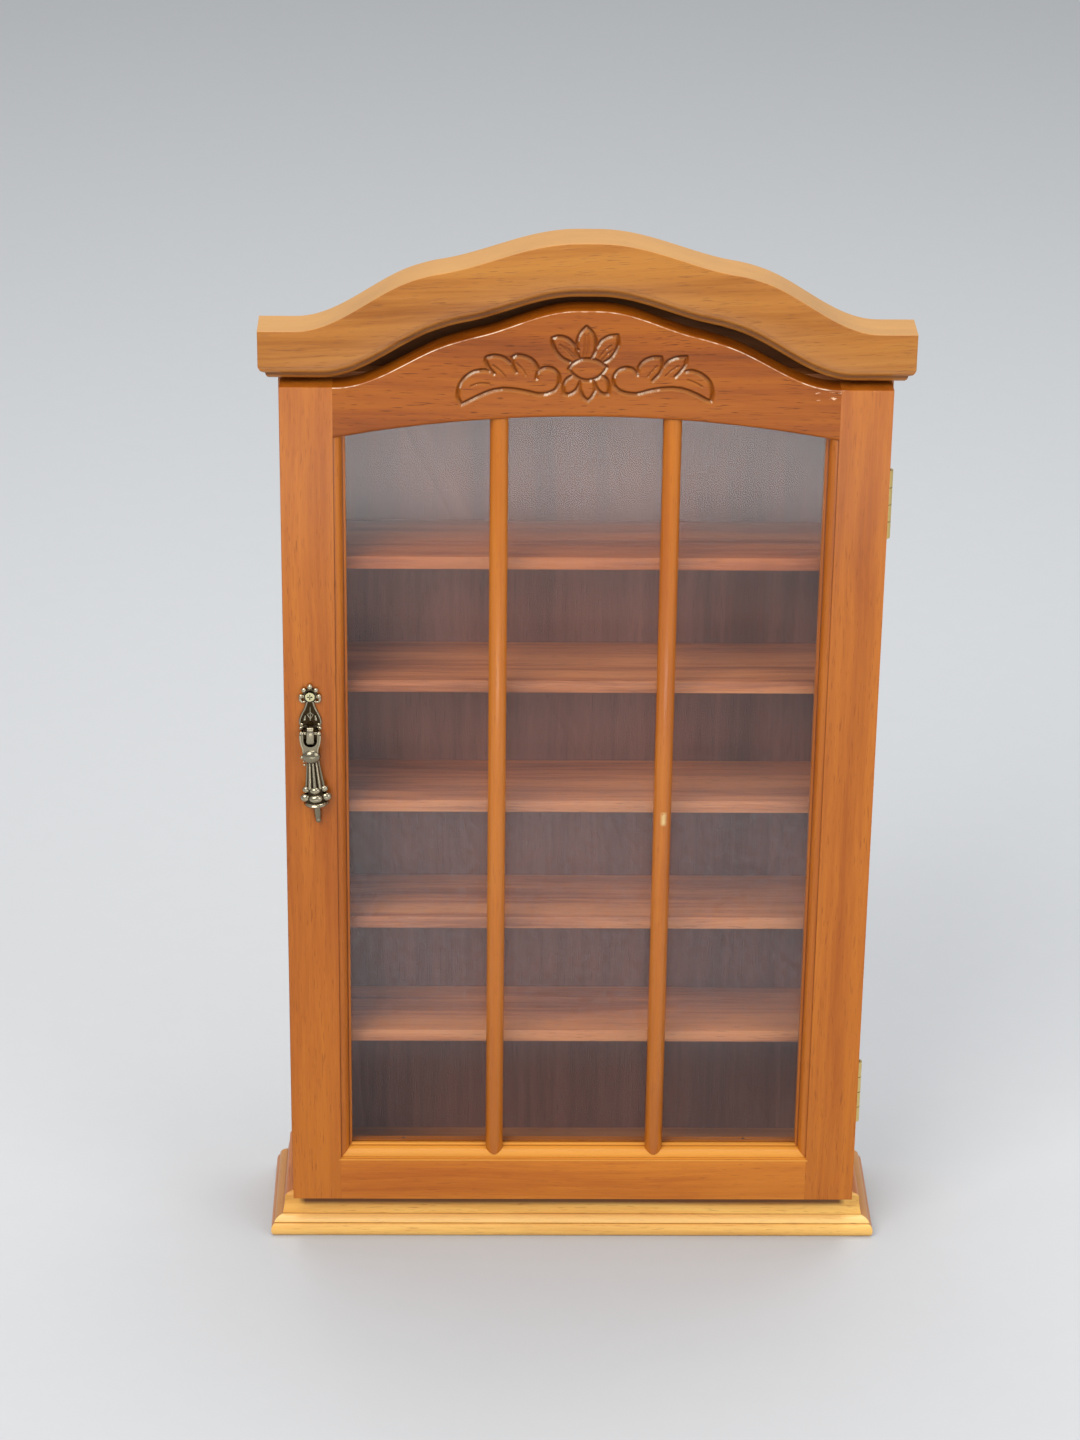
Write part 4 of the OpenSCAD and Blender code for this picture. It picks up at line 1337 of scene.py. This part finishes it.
    def _right_spray(self) -> list[Stroke]:
        """Gives the right spray, whose two lobes are pointed."""
        return [
            Stroke(((52.9, -10.3), (53.4, -6.0), (52.0, -1.5), (48.7, 1.7), (44.8, 3.3), (41.9, 3.1))),
            Stroke(((32.5, 5.4), (34.5, 7.8), (37.9, 9.3), (41.9, 9.7))),
            Stroke(((41.9, 9.7), (41.6, 6.2), (39.7, 3.2), (37.5, 0.7))),
            Stroke(((21.4, 2.4), (22.3, 5.8), (24.8, 8.3), (28.1, 9.4), (31.1, 9.4))),
            Stroke(((31.1, 9.4), (31.9, 5.7), (30.8, 2.3), (27.9, -1.1))),
            Stroke(((21.3, 1.5), (19.3, 3.9), (16.3, 4.6), (13.0, 3.3), (11.2, 0.1), (11.6, -3.5), (14.0, -6.0))),
            Stroke(((14.0, -6.0), (17.9, -7.1), (21.7, -7.1), (25.9, -5.9), (31.0, -4.8), (36.5, -4.4))),
            Stroke(((36.5, -4.4), (41.7, -5.3), (46.8, -7.4), (50.7, -9.6), (52.9, -10.3))),
            self._vein((25.8, 0.7), (27.8, 3.4), (29.5, 5.4)),
            self._vein((33.4, 1.1), (36.3, 3.9), (38.8, 5.5)),
            self._vein((42.8, -0.8), (45.8, -1.9), (48.9, -3.7)),
        ]

    def depth(self, x: np.ndarray, z: np.ndarray) -> np.ndarray:
        """Gives the carving's depth at each place.

        Args:
            x: Places across the rail, from the flower's centre.
            z: Heights, from the flower's centre.

        Returns:
            The depth at each place.
        """
        deepest = np.zeros_like(x)
        for stroke in self.strokes():
            line = np.array(spline(stroke.points, 5))
            low, high = line.min(0) - 2 * stroke.width, line.max(0) + 2 * stroke.width
            near = (x > low[0]) & (x < high[0]) & (z > low[1]) & (z < high[1])
            spots = np.stack([x[near], z[near]], 1)
            nearest = np.full(len(spots), 99.0)
            for start, end in zip(line[:-1], line[1:]):
                run = end - start
                share = np.clip((spots - start) @ run / max(run @ run, 1e-9), 0, 1)
                nearest = np.minimum(nearest, np.linalg.norm(spots - start - share[:, None] * run, axis=1))
            side = np.clip(nearest / stroke.width, 0, 1)
            cut = stroke.depth * (0.6 * (1 - side) + 0.4 * (1 + np.cos(math.pi * side)) / 2)
            deepest[near] = np.maximum(deepest[near], cut)
        return deepest


@dataclass
class HeadRail(Part):
    """The arched top rail of the door with its carving.

    Attributes:
        half_length: Half of its length.
        arch_crown: Height of the glass opening's crown.
        arch_rise: Rise of the arch over the glass.
        flower_height: Height of the carving's centre.
        lower_round: Rounding of the lower front edge.
        upper_round: Rounding of the upper front edge.
        rebate: Height of the rebate for the glass.
        glass_depth: Depth of the glass behind the door's face.
        groove_shade: Strength of the painted shade on the downward-facing upper walls and in the deepest parts of the
            carved lines.
        lit_wall: Strength of the painted light on their upward-facing lower walls.
        glint: Strength of the painted glints, laid as bare wood, on the lower walls that face up and to the left.
        fine: Distance between points in the carving.
        fine_reach: Half of the width with fine points.
        columns_outside: Columns on each side of the carving.
    """

    body = "door"
    half_length: float = 108.5
    arch_crown: float = 415.0
    arch_rise: float = 9.5
    flower_height: float = 433.0
    lower_round: float = 1.6
    upper_round: float = 0.8
    rebate: float = 419.5
    glass_depth: float = 7.0
    groove_shade: float = 0.7
    lit_wall: float = 0.28
    glint: float = 1.0
    fine: float = 0.3
    fine_reach: float = 58.0
    columns_outside: int = 30
    flower: CarvedFlower = field(default_factory=CarvedFlower)

    def opening(self, x: float) -> float:
        """Gives the height of the arch over the glass."""
        radius = (SIZES.glass_edge**2 + self.arch_rise**2) / (2 * self.arch_rise)
        return self.arch_crown - radius + math.sqrt(radius * radius - x * x)

    def columns(self) -> list[float]:
        """Gives the place of each column, closest together in the carving."""
        inner = round(self.fine_reach / self.fine)
        middle = [self.fine * i for i in range(-inner, inner + 1)]
        span = self.half_length - self.fine_reach
        outer = [self.fine_reach + span * (i + 1) / self.columns_outside for i in range(self.columns_outside)]
        return [-x for x in reversed(outer)] + middle + outer

    def rows(self, height: float, count: int) -> list[float]:
        """Gives the heights of the rows in a column.

        Args:
            height: Height of the rail in this column.
            count: Number of evenly spaced rows.

        Returns:
            Heights above the arch.
        """
        low = [self.lower_round * (1 - math.cos(math.radians(a))) for a in range(0, 90, 15)]
        high = [height - self.upper_round * (1 - math.cos(math.radians(a))) for a in range(75, -1, -15)]
        start, end = self.lower_round, height - self.upper_round
        return low + [start + (end - start) * i / count for i in range(count + 1)] + high

    @staticmethod
    def rounding(distance: np.ndarray, radius: float) -> np.ndarray:
        """Gives how far a rounded edge stands back at a distance from it."""
        short = np.clip(radius - distance, 0.0, radius)
        return radius - np.sqrt(radius * radius - short * short)

    def build(self) -> None:
        """Builds and dresses the rail."""
        xs = self.columns()
        even = 112
        count = len(self.rows(50.0, even))
        shape = Shape()
        bm = shape.bm
        bmesh.ops.create_grid(bm, x_segments=len(xs) - 1, y_segments=count - 1, size=1.0)
        shade = bm.verts.layers.float.new("shade")
        worn = bm.verts.layers.float.new("worn")
        pale = bm.verts.layers.float.new("pale")
        columns = {}
        for i, x in enumerate(xs):
            low, top = self.opening(x), SIZES.door_top + DOOR_CURVE.rise(x)
            columns[i] = (x, low, top, self.rows(top - low, even))
        verts = list(bm.verts)
        cells = [(round((v.co.x + 1) / 2 * (len(xs) - 1)), round((v.co.y + 1) / 2 * (count - 1))) for v in verts]
        place = np.array([(columns[i][0], columns[i][1] + columns[i][3][j], columns[i][3][j], columns[i][2]) for i, j in cells])
        x, z, above, top = place.T
        cut = self.flower.depth(x, z - self.flower_height)
        above_cut = self.flower.depth(x, z + self.fine - self.flower_height)
        beside_cut = self.flower.depth(x + self.fine, z - self.flower_height)
        tilt = (above_cut - cut) / self.fine
        lean = (cut - beside_cut) / self.fine
        # Painted glints on the deep lower walls that face up and to the left
        bright = np.where((tilt > 0.25) & (lean > 0.15) & (cut > 0.3), self.glint, 0.0)
        back = cut + self.rounding(above, self.lower_round) + self.rounding(top - z, self.upper_round)
        for vert, (_, j), px, pz, depth, carved, facing, lit in zip(verts, cells, x, z, back, cut, tilt, bright):
            vert.co = (px, SIZES.door_front + depth, pz)
            # Painted shade on walls that face down and in deep cuts, painted light on walls that face up; the worn mark
            # also keeps the worn line along the top arris
            vert[shade] = self.groove_shade * min(max(-facing, 0.0) + 0.35 * carved, 1.0)
            vert[pale] = min(max(facing, 0.0), 1.0) * self.lit_wall
            vert[worn] = 1.0 if count - 5 <= j <= count - 4 else lit
        rim = [e for e in bm.edges if len(e.link_faces) == 1]
        for depth, floor in ((self.glass_depth, 0.0), (self.glass_depth, self.rebate), (SIZES.door_back - SIZES.door_front, self.rebate)):
            fresh = bmesh.ops.extrude_edge_only(bm, edges=rim)["geom"]
            for vert in (v for v in fresh if isinstance(v, bmesh.types.BMVert)):
                vert.co.y = SIZES.door_front + depth
                vert.co.z = max(vert.co.z, floor)
                vert[worn] = 0.0
            rim = [e for e in fresh if isinstance(e, bmesh.types.BMEdge) and len(e.link_faces) == 1]
        bmesh.ops.holes_fill(bm, edges=rim, sides=0)
        shape.cleaned()
        chips = ChippedEdge(97.5, 108.5, 423.0, 430.0, 0.36, 1.2)
        material = HEAD_WOOD.material("head_rail", Grain.ALONG_X, 0.53, chips)
        made = self.add(shape, "head_rail_carved", "top_rail", HEAD_WOOD, material, 60.0)
        LOG.info("carved rail has %d points", len(made.data.vertices))


@dataclass(frozen=True)
class GlassMoulding:
    """The moulding round the glass: a fillet, a rounded part and a ledge.

    Attributes:
        lip: Width of the rounded lip in front of the step.
        fillet: Depth of the step at the flat face.
        quirk: Width of the groove between the step and the rounded part.
        round_rise: Width up to the end of the rounded part.
        round_depth: Depth up to the end of the rounded part.
        ledge: Depth of the ledge.
        width: Width of the moulding.
        depth: Depth of the glass.
    """

    lip: float = 1.1
    fillet: float = 1.25
    quirk: float = 0.3
    round_rise: float = 3.7
    round_depth: float = 5.4
    ledge: float = 5.5
    width: float = 5.0
    depth: float = 7.0

    def section(self) -> list[Point3]:
        """Gives the section.

        Returns:
            Rise from the flat face's edge, depth and darkness of each point; the darkness is painted shade in the step
            and the quirks.
        """
        points = [(-self.lip, -0.02, 0.0), (-0.45, -0.03, 0.0), (-0.1, 0.08, 0.0), (0.03, 0.4, 0.0)]
        points += [(0.03, self.fillet + 0.15, 0.2), (self.quirk, self.fillet + 0.15, 0.2)]
        rise, depth = self.round_rise - self.quirk, self.round_depth - self.fillet
        for i in range(11):
            a = math.radians(9 * i)
            points.append((self.quirk + rise * math.sin(a), self.fillet + depth * (1 - math.cos(a)), 0.0))
        points += [(self.round_rise, self.ledge + 0.3, 0.4), (self.round_rise + 0.3, self.ledge + 0.35, 0.4)]
        points += [(self.round_rise + 0.35, self.ledge + 0.05, 0.1), (self.width - 0.25, self.ledge, 0.0)]
        points += [(self.width, self.ledge + 0.25, 0.0), (self.width, self.depth, 0.0), (0.0, self.depth, 0.0)]
        return points

    def swept(self, start: Callable[[float, float], Point3], end: Callable[[float, float], Point3], pale: float) -> Shape:
        """Sweeps the section from one end to the other.

        Args:
            start: Gives the first end's point from a rise and a depth.
            end: Gives the last end's point.
            pale: Strength of the painted light on the moulding.

        Returns:
            The shape.
        """
        section = self.section()
        shape = Shape().loft([[Vector(rule(rise, depth)) for rise, depth, _ in section] for rule in (start, end)])
        layer = shape.bm.verts.layers.float.new("shade")
        lit = shape.bm.verts.layers.float.new("pale")
        # Painted shade from the section and painted light from pale, at every point
        for i, vert in enumerate(shape.bm.verts):
            vert[layer] = section[i % len(section)][2]
            vert[lit] = pale
        return shape


@dataclass
class DoorFrame(Part):
    """The stiles, bottom rail, glazing bars, glass and the strips behind it."""

    body = "door"
    moulding: GlassMoulding = field(default_factory=GlassMoulding)
    arris: float = 0.5
    notch: float = 14.0

    def build(self) -> None:
        """Builds and dresses the pieces."""
        self._stile("left", -1, 0.19, STILE_WOOD)
        self._stile("right", 1, 0.61, STILE_WOOD)
        self._sill()
        self.soften("left_bar", BAR_WOOD, Grain.ALONG_Z, 0.41, 0.2)
        knock = ChippedEdge(36.7, 38.6, 219.3, 225.3, 0.6, 14.0, tint(222, 188, 126), soft=1.0)
        self.soften("right_bar", BAR_WOOD, Grain.ALONG_Z, 0.97, 0.2, knock)
        for i, word in enumerate(("left", "right")):
            self.soften(f"{word}_strip", STILE_WOOD, Grain.ALONG_Z, 2.1 + i, 0.3)
        for i, word in enumerate(("top", "bottom")):
            self.soften(f"{word}_strip", STILE_WOOD, Grain.ALONG_X, 2.6 + i, 0.3)
        self.dress(["glass_pane"], GlassFinish().material("pane"))
        self.dress(["frame_dowels"], DOWEL_WOOD.material("dowels", Grain.ALONG_X, 0.2))
        self.dress(["strip_pins"], PIN_STEEL.material("strip_pins"))
        self.dress(["bumper_pads"], PAD_RUBBER.material("pads"))

    def _stile(self, word: str, side: int, shift: float, wood: WoodFinish) -> None:
        """Builds a stile: its board from the CAD, and a finer moulding.

        Args:
            word: Left or right.
            side: Minus one for the left stile.
            shift: Place in the wood's pattern.
            wood: Its wood.
        """
        edge = SIZES.flat_edge
        board = from_node(f"{word}_stile").trimmed((side * (edge + 0.01), 0.0, 0.0), (-side, 0.0, 0.0))
        board.flattened().softened(self.arris, 50.0, longer_than=self.notch)
        arch = HeadRail().opening
        top = [arch(edge - rise) for rise, _, _ in self.moulding.section()]
        tops = {round(rise, 4): z for (rise, _, _), z in zip(self.moulding.section(), top)}
        strip = self.moulding.swept(
            lambda rise, depth: (side * (edge + 0.02 - rise), SIZES.door_front + depth, SIZES.sill + rise),
            lambda rise, depth: (side * (edge + 0.02 - rise), SIZES.door_front + depth, tops[round(rise, 4)]),
            0.0,
        )
        strip.cleaned()
        board.joined(strip)
        left, right = sorted((side * edge, side * 131.0))
        chips = ChippedEdge(left, right, SIZES.door_top - 0.7, SIZES.door_top + 0.3, 0.36, bare=tint(226, 168, 122))
        self.add(board, f"{word}_stile_moulded", f"{word}_stile", wood, wood.material(word, Grain.ALONG_Z, shift, chips))

    def _sill(self) -> None:
        """Builds the bottom rail with its moulding, mitred into the stiles."""
        edge, sill = SIZES.flat_edge, SIZES.sill
        board = from_node("bottom_rail").trimmed((0.0, 0.0, sill - 0.01), (0.0, 0.0, 1.0))
        board.flattened().softened(self.arris, 50.0, longer_than=self.notch)
        # The sill's moulding takes the full painted light; the stiles' moulding takes none
        strip = self.moulding.swept(
            lambda rise, depth: (rise - edge, SIZES.door_front + depth, sill - 0.02 + rise),
            lambda rise, depth: (edge - rise, SIZES.door_front + depth, sill - 0.02 + rise),
            1.0,
        )
        board.joined(strip.cleaned())
        material = SILL_WOOD.material("sill", Grain.ALONG_X, 1.27)
        self.add(board, "bottom_rail_moulded", "bottom_rail", SILL_WOOD, material)


@dataclass
class Hardware(Part):
    """The hinges, the catch and their screws."""

    def build(self) -> None:
        """Dresses the hardware."""
        brass = HINGE_BRASS.material("hinges")
        screws = SCREW_BRASS.material("hinge_screws")
        for level in ("upper", "lower"):
            self.dress([f"{level}_case_leaf", f"{level}_door_leaf"], brass)
        self.dress(["upper_hinge_pin", "lower_hinge_pin"], SHADED_HINGE_PIN.material("hinge_pins"))
        self.dress(["case_leaf_screws", "door_leaf_screws"], screws)
        self.dress(["catch_body"], CATCH_BROWN.material("catch"))
        self.dress(["catch_magnet"], MAGNET_STEEL.material("magnet"))
        self.dress(["catch_screws", "strike_plate", "strike_screw"], PIN_STEEL.material("catch"))


# The pull


@dataclass
class DropPull(Part):
    """The pull: a pierced plate with beads, and a drop that hangs from its lug.

    Attributes:
        x: Place of its centre.
        pivot_y: Depth of the pivot.
        pivot_z: Height of the pivot.
        lug: Half of the lug's width.
        ear_round: Radius of the ears.
        lean: Lean of the drop in degrees.
        skirt_folds: Number of ribs on the skirt.
    """

    body = "door"
    x: float = -119.8
    pivot_y: float = -38.15
    pivot_z: float = 266.5
    lug: float = 1.75
    ear_round: float = 1.9
    lean: float = -4.0
    skirt_folds: int = 5

    def build(self) -> None:
        """Builds and dresses the plate and the drop."""
        bronze = PULL_BRONZE.material("pull")
        self.body = "door"
        self.add(self._plate(), "pull_plate_pierced", "pull_plate", PULL_BRONZE, bronze, 50.0)
        self.body = "pull"
        self.add(self._drop(), "pull_drop_turned", "pull_drop", PULL_BRONZE, bronze, 50.0)
        self.dress(["pull_pin"], bronze)
        self.dress(["pull_screw"], PULL_SCREW.material("pull_screw"))

    def _here(self) -> Matrix:
        """Gives the move from the pivot to its place on the door."""
        return Matrix.Translation((self.x, self.pivot_y, self.pivot_z))

    @property
    def _door(self) -> float:
        """Gives the depth of the door's face, from the pivot."""
        return SIZES.door_front - self.pivot_y

    def _plate(self) -> Shape:
        """Builds the plate, from the pivot."""
        door = self._door
        shape = Shape()
        half = spline(((1.4, 1.7), (3.4, 1.9), (4.4, 3.3), (4.5, 5.4), (3.6, 8.2), (2.3, 10.9), (1.2, 14.4)), 6)
        shape.prism([(-x, z) for x, z in half] + [(x, z) for x, z in reversed(half)], door - 0.5, door, Facing.FRONT)
        tail = [(-3.1, 2.0), (3.1, 2.0), (3.1, -5.8), (1.6, -7.3), (-1.6, -7.3), (-3.1, -5.8)]
        shape.prism(tail, door - 0.5, door, Facing.FRONT).toned(0.97)
        for side in (-1, 1):
            shape.tube([(side * x, door - 0.75, z) for x, z in half[5:]], 0.5)
            shape.toned(0.4)
            shape.tube([(side * 2.55, door - 0.8, 5.6), (side * 2.45, door - 0.9, 6.4), (side * 2.1, door - 0.7, 7.6)], lambda t: 0.7 - 0.4 * t, 8)
            shape.toned(0.0)
            leaf = ((0.1, 6.2), (0.7, 7.0), (1.25, 7.9), (0.7, 8.3), (0.25, 9.0))
            shape.tube([(side * x, door - 0.65, z) for x, z in spline(leaf, 4)], lambda t: 0.3 - 0.12 * t, 8)
            shape.toned(0.35)
            shape.ball((side * 4.15, door - 0.8, 1.5), 0.95)
            shape.ball((side * 3.75, door - 0.8, 3.3), 0.8)
            curl = [(3.1 + 1.3 * math.cos(a), 15.6 + 1.35 * math.sin(a)) for a in (math.radians(105 - 28 * i) for i in range(10))]
            shape.tube([(side * x, door - 0.75 - 0.03 * i, z) for i, (x, z) in enumerate(curl)], lambda t: 0.85 - 0.4 * t)
            shape.ball((side * 3.95, door - 0.9, 17.0), 1.15)
            shape.ball((side * 2.65, door - 0.9, 20.0), 1.2)
            shape.toned(0.0)
        shape.tube([(0.0, door - 0.65, z) for z in (5.2, 6.8, 8.5, 10.4, 11.9)], lambda t: 0.36 - 0.2 * t, 8)
        shape.toned(0.35)
        shape.ball((0.0, door - 0.9, 21.6), 1.35)
        shape.toned(0.0)
        shape.prism(arc((0.0, 17.2), (3.3, 3.3), 0, 345, 23), door - 0.7, door, Facing.FRONT).toned(0.9)
        shape.prism([(-3.4, 1.0), (3.4, 1.0), (3.5, 2.9), (-3.5, 2.9)], door - 0.8, door, Facing.FRONT).toned(0.92)
        shape.loft(self._tongue()).toned(0.22)
        shape.cleaned(0.0005)
        return shape.moved(self._here())

    def _tongue(self) -> list[list[Vector]]:
        """Gives the rings of the lug: a strap that comes forward round the pin and hangs down."""
        door = self._door
        path = [(door, 2.4), (1.6, 3.0), (0.3, 3.2), (-0.9, 2.85), (-1.65, 2.0), (-1.9, 0.8), (-1.85, -2.0), (-1.6, -3.6), (-1.0, -4.9)]
        under = [(door, -0.6), (1.6, -0.9), (1.0, -1.1), (0.5, -1.3), (0.15, -1.5), (-0.05, -1.8), (-0.2, -2.9), (-0.3, -4.0), (-0.6, -4.7)]
        rings = []
        for i, (front, rear) in enumerate(zip(path, under)):
            half = self.lug * (1.0 if i < 7 else 0.97 - 0.2 * (i - 7))
            soft = 0.45
            sides = [(half, 0.25), (half, 0.8)]
            right = [Vector((x, *self._between(front, rear, share))) for x, share in sides]
            left = [Vector((-v.x, v.y, v.z)) for v in reversed(right)]
            top = [Vector((-half + soft, *front)), Vector((half - soft, *front))]
            low = [Vector((half - soft, *rear)), Vector((-half + soft, *rear))]
            rings.append(top + right + low + left)
        return rings

    @staticmethod
    def _between(first: Point2, second: Point2, share: float) -> Point2:
        """Gives a point between two points."""
        return tuple(a + (b - a) * share for a, b in zip(first, second))

    def _drop(self) -> Shape:
        """Builds the drop, from the pivot."""
        back = self.ear_round
        outer = spline(((4.75, 0.0), (4.72, -2.2), (4.35, -4.8), (3.7, -7.0), (3.45, -9.4)), 5)
        inner = arc((0.0, -3.2), (3.05, 3.0), -180, 0, 14)
        right = [*reversed(arc((3.9, 0.0), (0.85, 1.6), 0, 180, 8)), *outer[1:]]
        left = [(-x, z) for x, z in reversed(right)]
        shape = Shape().prism(left + [*inner] + right, -1.3, back - 0.1, Facing.FRONT)
        shape.softened(0.4, 40.0, 2).toned(0.45)
        for side in (-1, 1):
            rim = [(side * (x - 0.4), -1.2, z) for x, z in outer[1:-2]]
            shape.tube(rim, lambda t: 0.55 - 0.15 * t, 8)
            shape.toned(0.0)
            shape.ball((side * 3.85, -0.95, 0.35), 1.0, (1.0, 0.75, 0.9))
        shape.toned(0.0)
        tassel = Shape()
        tassel.ball((-0.3, -0.3, -11.0), 4.2, (1.0, 0.66, 0.84), 16).toned(0.45)
        tassel.prism([(-3.2, -14.0), (3.2, -14.0), (3.3, -9.0), (-3.3, -9.0)], 0.2, back, Facing.FRONT).toned(0.8)
        for x, z, radius in ((-4.5, -11.3, 0.9), (-3.85, -13.3, 0.6), (-3.75, -15.0, 0.65)):
            tassel.ball((x, back - 2.2, z), radius)
        tassel.toned(0.0)
        tassel.loft(self._skirt(back))
        ribs = tassel.bm.verts.layers.float.get("shade")
        for vert in tassel.bm.verts:
            if not vert.tag:
                share = math.hypot(vert.co.x, vert.co.y - back) / self._skirt_reach(vert.co.z)
                vert[ribs] = min(max((0.985 - share) / 0.12, 0.38), 0.97)
                vert.tag = True
        tassel.loft(self._half_turned(back, ((-25.6, 3.6), (-29.0, 4.1), (-32.6, 4.8), (-34.6, 5.2)))).toned(0.95)
        for turn, squash in ((-66, 1.0), (0, 1.25), (66, 1.0)):
            a = math.radians(turn)
            tassel.ball((4.3 * math.sin(a), back - 0.4 - 3.2 * math.cos(a), -27.4), 1.95, (squash, 0.85, 0.86))
            tassel.ball((5.0 * math.sin(a), back - 0.4 - 3.35 * math.cos(a), -31.4), 2.35, (1.05 * squash, 0.82, 0.88))
        tassel.toned(0.2)
        lip = ((-33.4, 4.5), (-34.0, 5.5), (-34.6, 5.9), (-35.2, 5.7), (-36.0, 4.1), (-36.5, 2.2))
        tassel.loft(self._half_turned(back, lip)).toned(0.25)
        finial = ((-36.1, 2.0), (-36.9, 1.75), (-41.9, 1.6), (-42.6, 1.15), (-43.2, 1.3), (-44.0, 1.35), (-44.8, 0.7))
        tassel.loft(self._half_turned(back, finial)).toned(0.5)
        tassel.moved(Matrix.Rotation(math.radians(self.lean), 4, "Y"))
        shape.joined(tassel)
        shape.cleaned(0.0005)
        return shape.moved(self._here())

    @staticmethod
    def _skirt_reach(z: float) -> float:
        """Gives the reach of the skirt's ribs at a height."""
        share = min(max((-13.0 - z) / 13.6, 0.0), 1.0)
        return 3.0 + 0.5 * share + 1.25 * share**1.5

    def _skirt(self, back: float) -> list[list[Vector]]:
        """Gives the rings of the fluted skirt, whose ribs spread downwards.

        Args:
            back: Depth of its flat back.

        Returns:
            The rings.
        """
        rings = []
        steps = 60
        for i in range(15):
            z = -13.0 - 13.6 * i / 14
            reach = self._skirt_reach(z)
            ring = []
            for k in range(steps + 1):
                a = math.pi * k / steps
                wave = abs(math.sin(self.skirt_folds * a)) ** 1.3
                r = reach * (0.8 + 0.2 * wave)
                ring.append(Vector((-r * math.cos(a), back - r * math.sin(a), z)))
            rings.append(ring)
        return rings

    @staticmethod
    def _half_turned(back: float, profile: Sequence[Point2], steps: int = 20) -> list[list[Vector]]:
        """Gives the rings of half of a turned shape.

        Args:
            back: Depth of its flat back.
            profile: Height and radius of each ring.
            steps: Steps round each ring.

        Returns:
            The rings.
        """
        turns = [math.pi * k / steps for k in range(steps + 1)]
        return [[Vector((-r * math.cos(a), back - r * math.sin(a), z)) for a in turns] for z, r in profile]


# The studio


@dataclass
class Studio:
    """The pale floor, the soft lights and the camera.

    Attributes:
        camera_place: Place of the camera.
        pitch: Angle that the camera looks down, in radians.
        yaw: Angle that it looks aside.
        roll: Angle that it leans.
        lens: Focal length.
        floor_color: Colour of the floor.
        sky: Strength of the light from all round.
    """

    camera_place: Point3 = (-48.97, -1623.45, 1029.55)
    pitch: float = 0.4449
    yaw: float = -0.0193
    roll: float = 0.0125
    lens: float = 3980.24 / 1440 * 36
    floor_color: Color = tint(192, 194, 195)
    sky: float = 0.5

    def build(self) -> None:
        """Builds the studio."""
        self._camera()
        self._floor()
        self._lights()

    def _camera(self) -> None:
        """Places the camera where the photograph was taken."""
        data = bpy.data.cameras.new("camera")
        data.lens = self.lens
        data.sensor_width = 36.0
        data.clip_end = 50.0
        camera = bpy.data.objects.new("camera", data)
        base = Matrix(((1, 0, 0), (0, 0, -1), (0, 1, 0)))
        look = (
            Matrix.Rotation(self.roll, 3, "Z")
            @ Matrix.Rotation(self.pitch, 3, "X")
            @ base
            @ Matrix.Rotation(-self.yaw, 3, "Z")
        )
        turn = Matrix((look[0], -look[1], -look[2])).transposed().to_4x4()
        camera.matrix_world = Matrix.Translation(Vector(self.camera_place) * MM) @ turn
        bpy.context.scene.collection.objects.link(camera)
        bpy.context.scene.camera = camera

    def _floor(self) -> None:
        """Lays a plain pale floor."""
        bm = bmesh.new()
        bmesh.ops.create_grid(bm, x_segments=1, y_segments=1, size=30.0)
        mesh = bpy.data.meshes.new("floor")
        bm.to_mesh(mesh)
        bm.free()
        floor = bpy.data.objects.new("floor", mesh)
        bpy.context.scene.collection.objects.link(floor)
        graph = Graph("floor_pale")
        speckle = graph.noise(graph.place, 60.0, 4.0, 0.6)
        darker = tuple(c * 0.97 for c in self.floor_color)
        graph.set(Base_Color=graph.mix(speckle, darker, self.floor_color), Roughness=0.9, Specular_IOR_Level=0.2)
        floor.data.materials.append(graph.material)

    def _light(
        self, name: str, place: Point3, aim: Point3, size: float, power: float, color: Color, widening: float = 1.0
    ) -> None:
        """Adds a soft light.

        Args:
            name: Its name.
            place: Where it hangs, in metres.
            aim: Where it points.
            size: Length of its side.
            power: Its power.
            color: Its colour.
            widening: Width of the light as a multiple of its side.
        """
        data = bpy.data.lights.new(name, "AREA")
        data.shape = "RECTANGLE"
        data.size = size * widening
        data.size_y = size
        data.energy = power
        data.color = color
        lamp = bpy.data.objects.new(name, data)
        direction = Vector(aim) - Vector(place)
        lamp.matrix_world = Matrix.Translation(place) @ direction.to_track_quat("-Z", "Y").to_matrix().to_4x4()
        bpy.context.scene.collection.objects.link(lamp)

    def _lights(self) -> None:
        """Hangs the lights and sets the light from all round."""
        self._light("key", (-1.2, -1.9, 2.3), (0.0, 0.0, 0.2), 1.6, 52.0, (1.0, 0.98, 0.95))
        self._light("fill", (1.8, -1.6, 1.3), (0.0, 0.0, 0.25), 1.6, 18.0, (0.95, 0.97, 1.0))
        self._light("top", (0.1, 0.3, 2.4), (0.0, -0.1, 0.2), 1.6, 40.0, (1.0, 1.0, 1.0))
        self._light("card", (0.0, -1.02, 0.01), (0.0, -1.02, 1.0), 0.3, 3.2, (1.0, 0.99, 0.98), 2.4)
        world = bpy.data.worlds.new("studio")
        world.use_nodes = True
        background = next(n for n in world.node_tree.nodes if n.type == "BACKGROUND")
        background.inputs["Color"].default_value = (0.93, 0.95, 1.0, 1.0)
        background.inputs["Strength"].default_value = self.sky
        bpy.context.scene.world = world
        bpy.context.scene.view_settings.view_transform = "Standard"


def main() -> None:
    """Builds the whole object in its studio."""
    logging.basicConfig(level=logging.INFO, format="%(name)s: %(message)s")
    for part in (Carcass(), Cornice(), FootMoulding(), DoorFrame(), HeadRail(), Hardware(), DropPull(), Studio()):
        LOG.info("building %s", type(part).__name__)
        part.build()


if __name__ == "__main__":
    main()
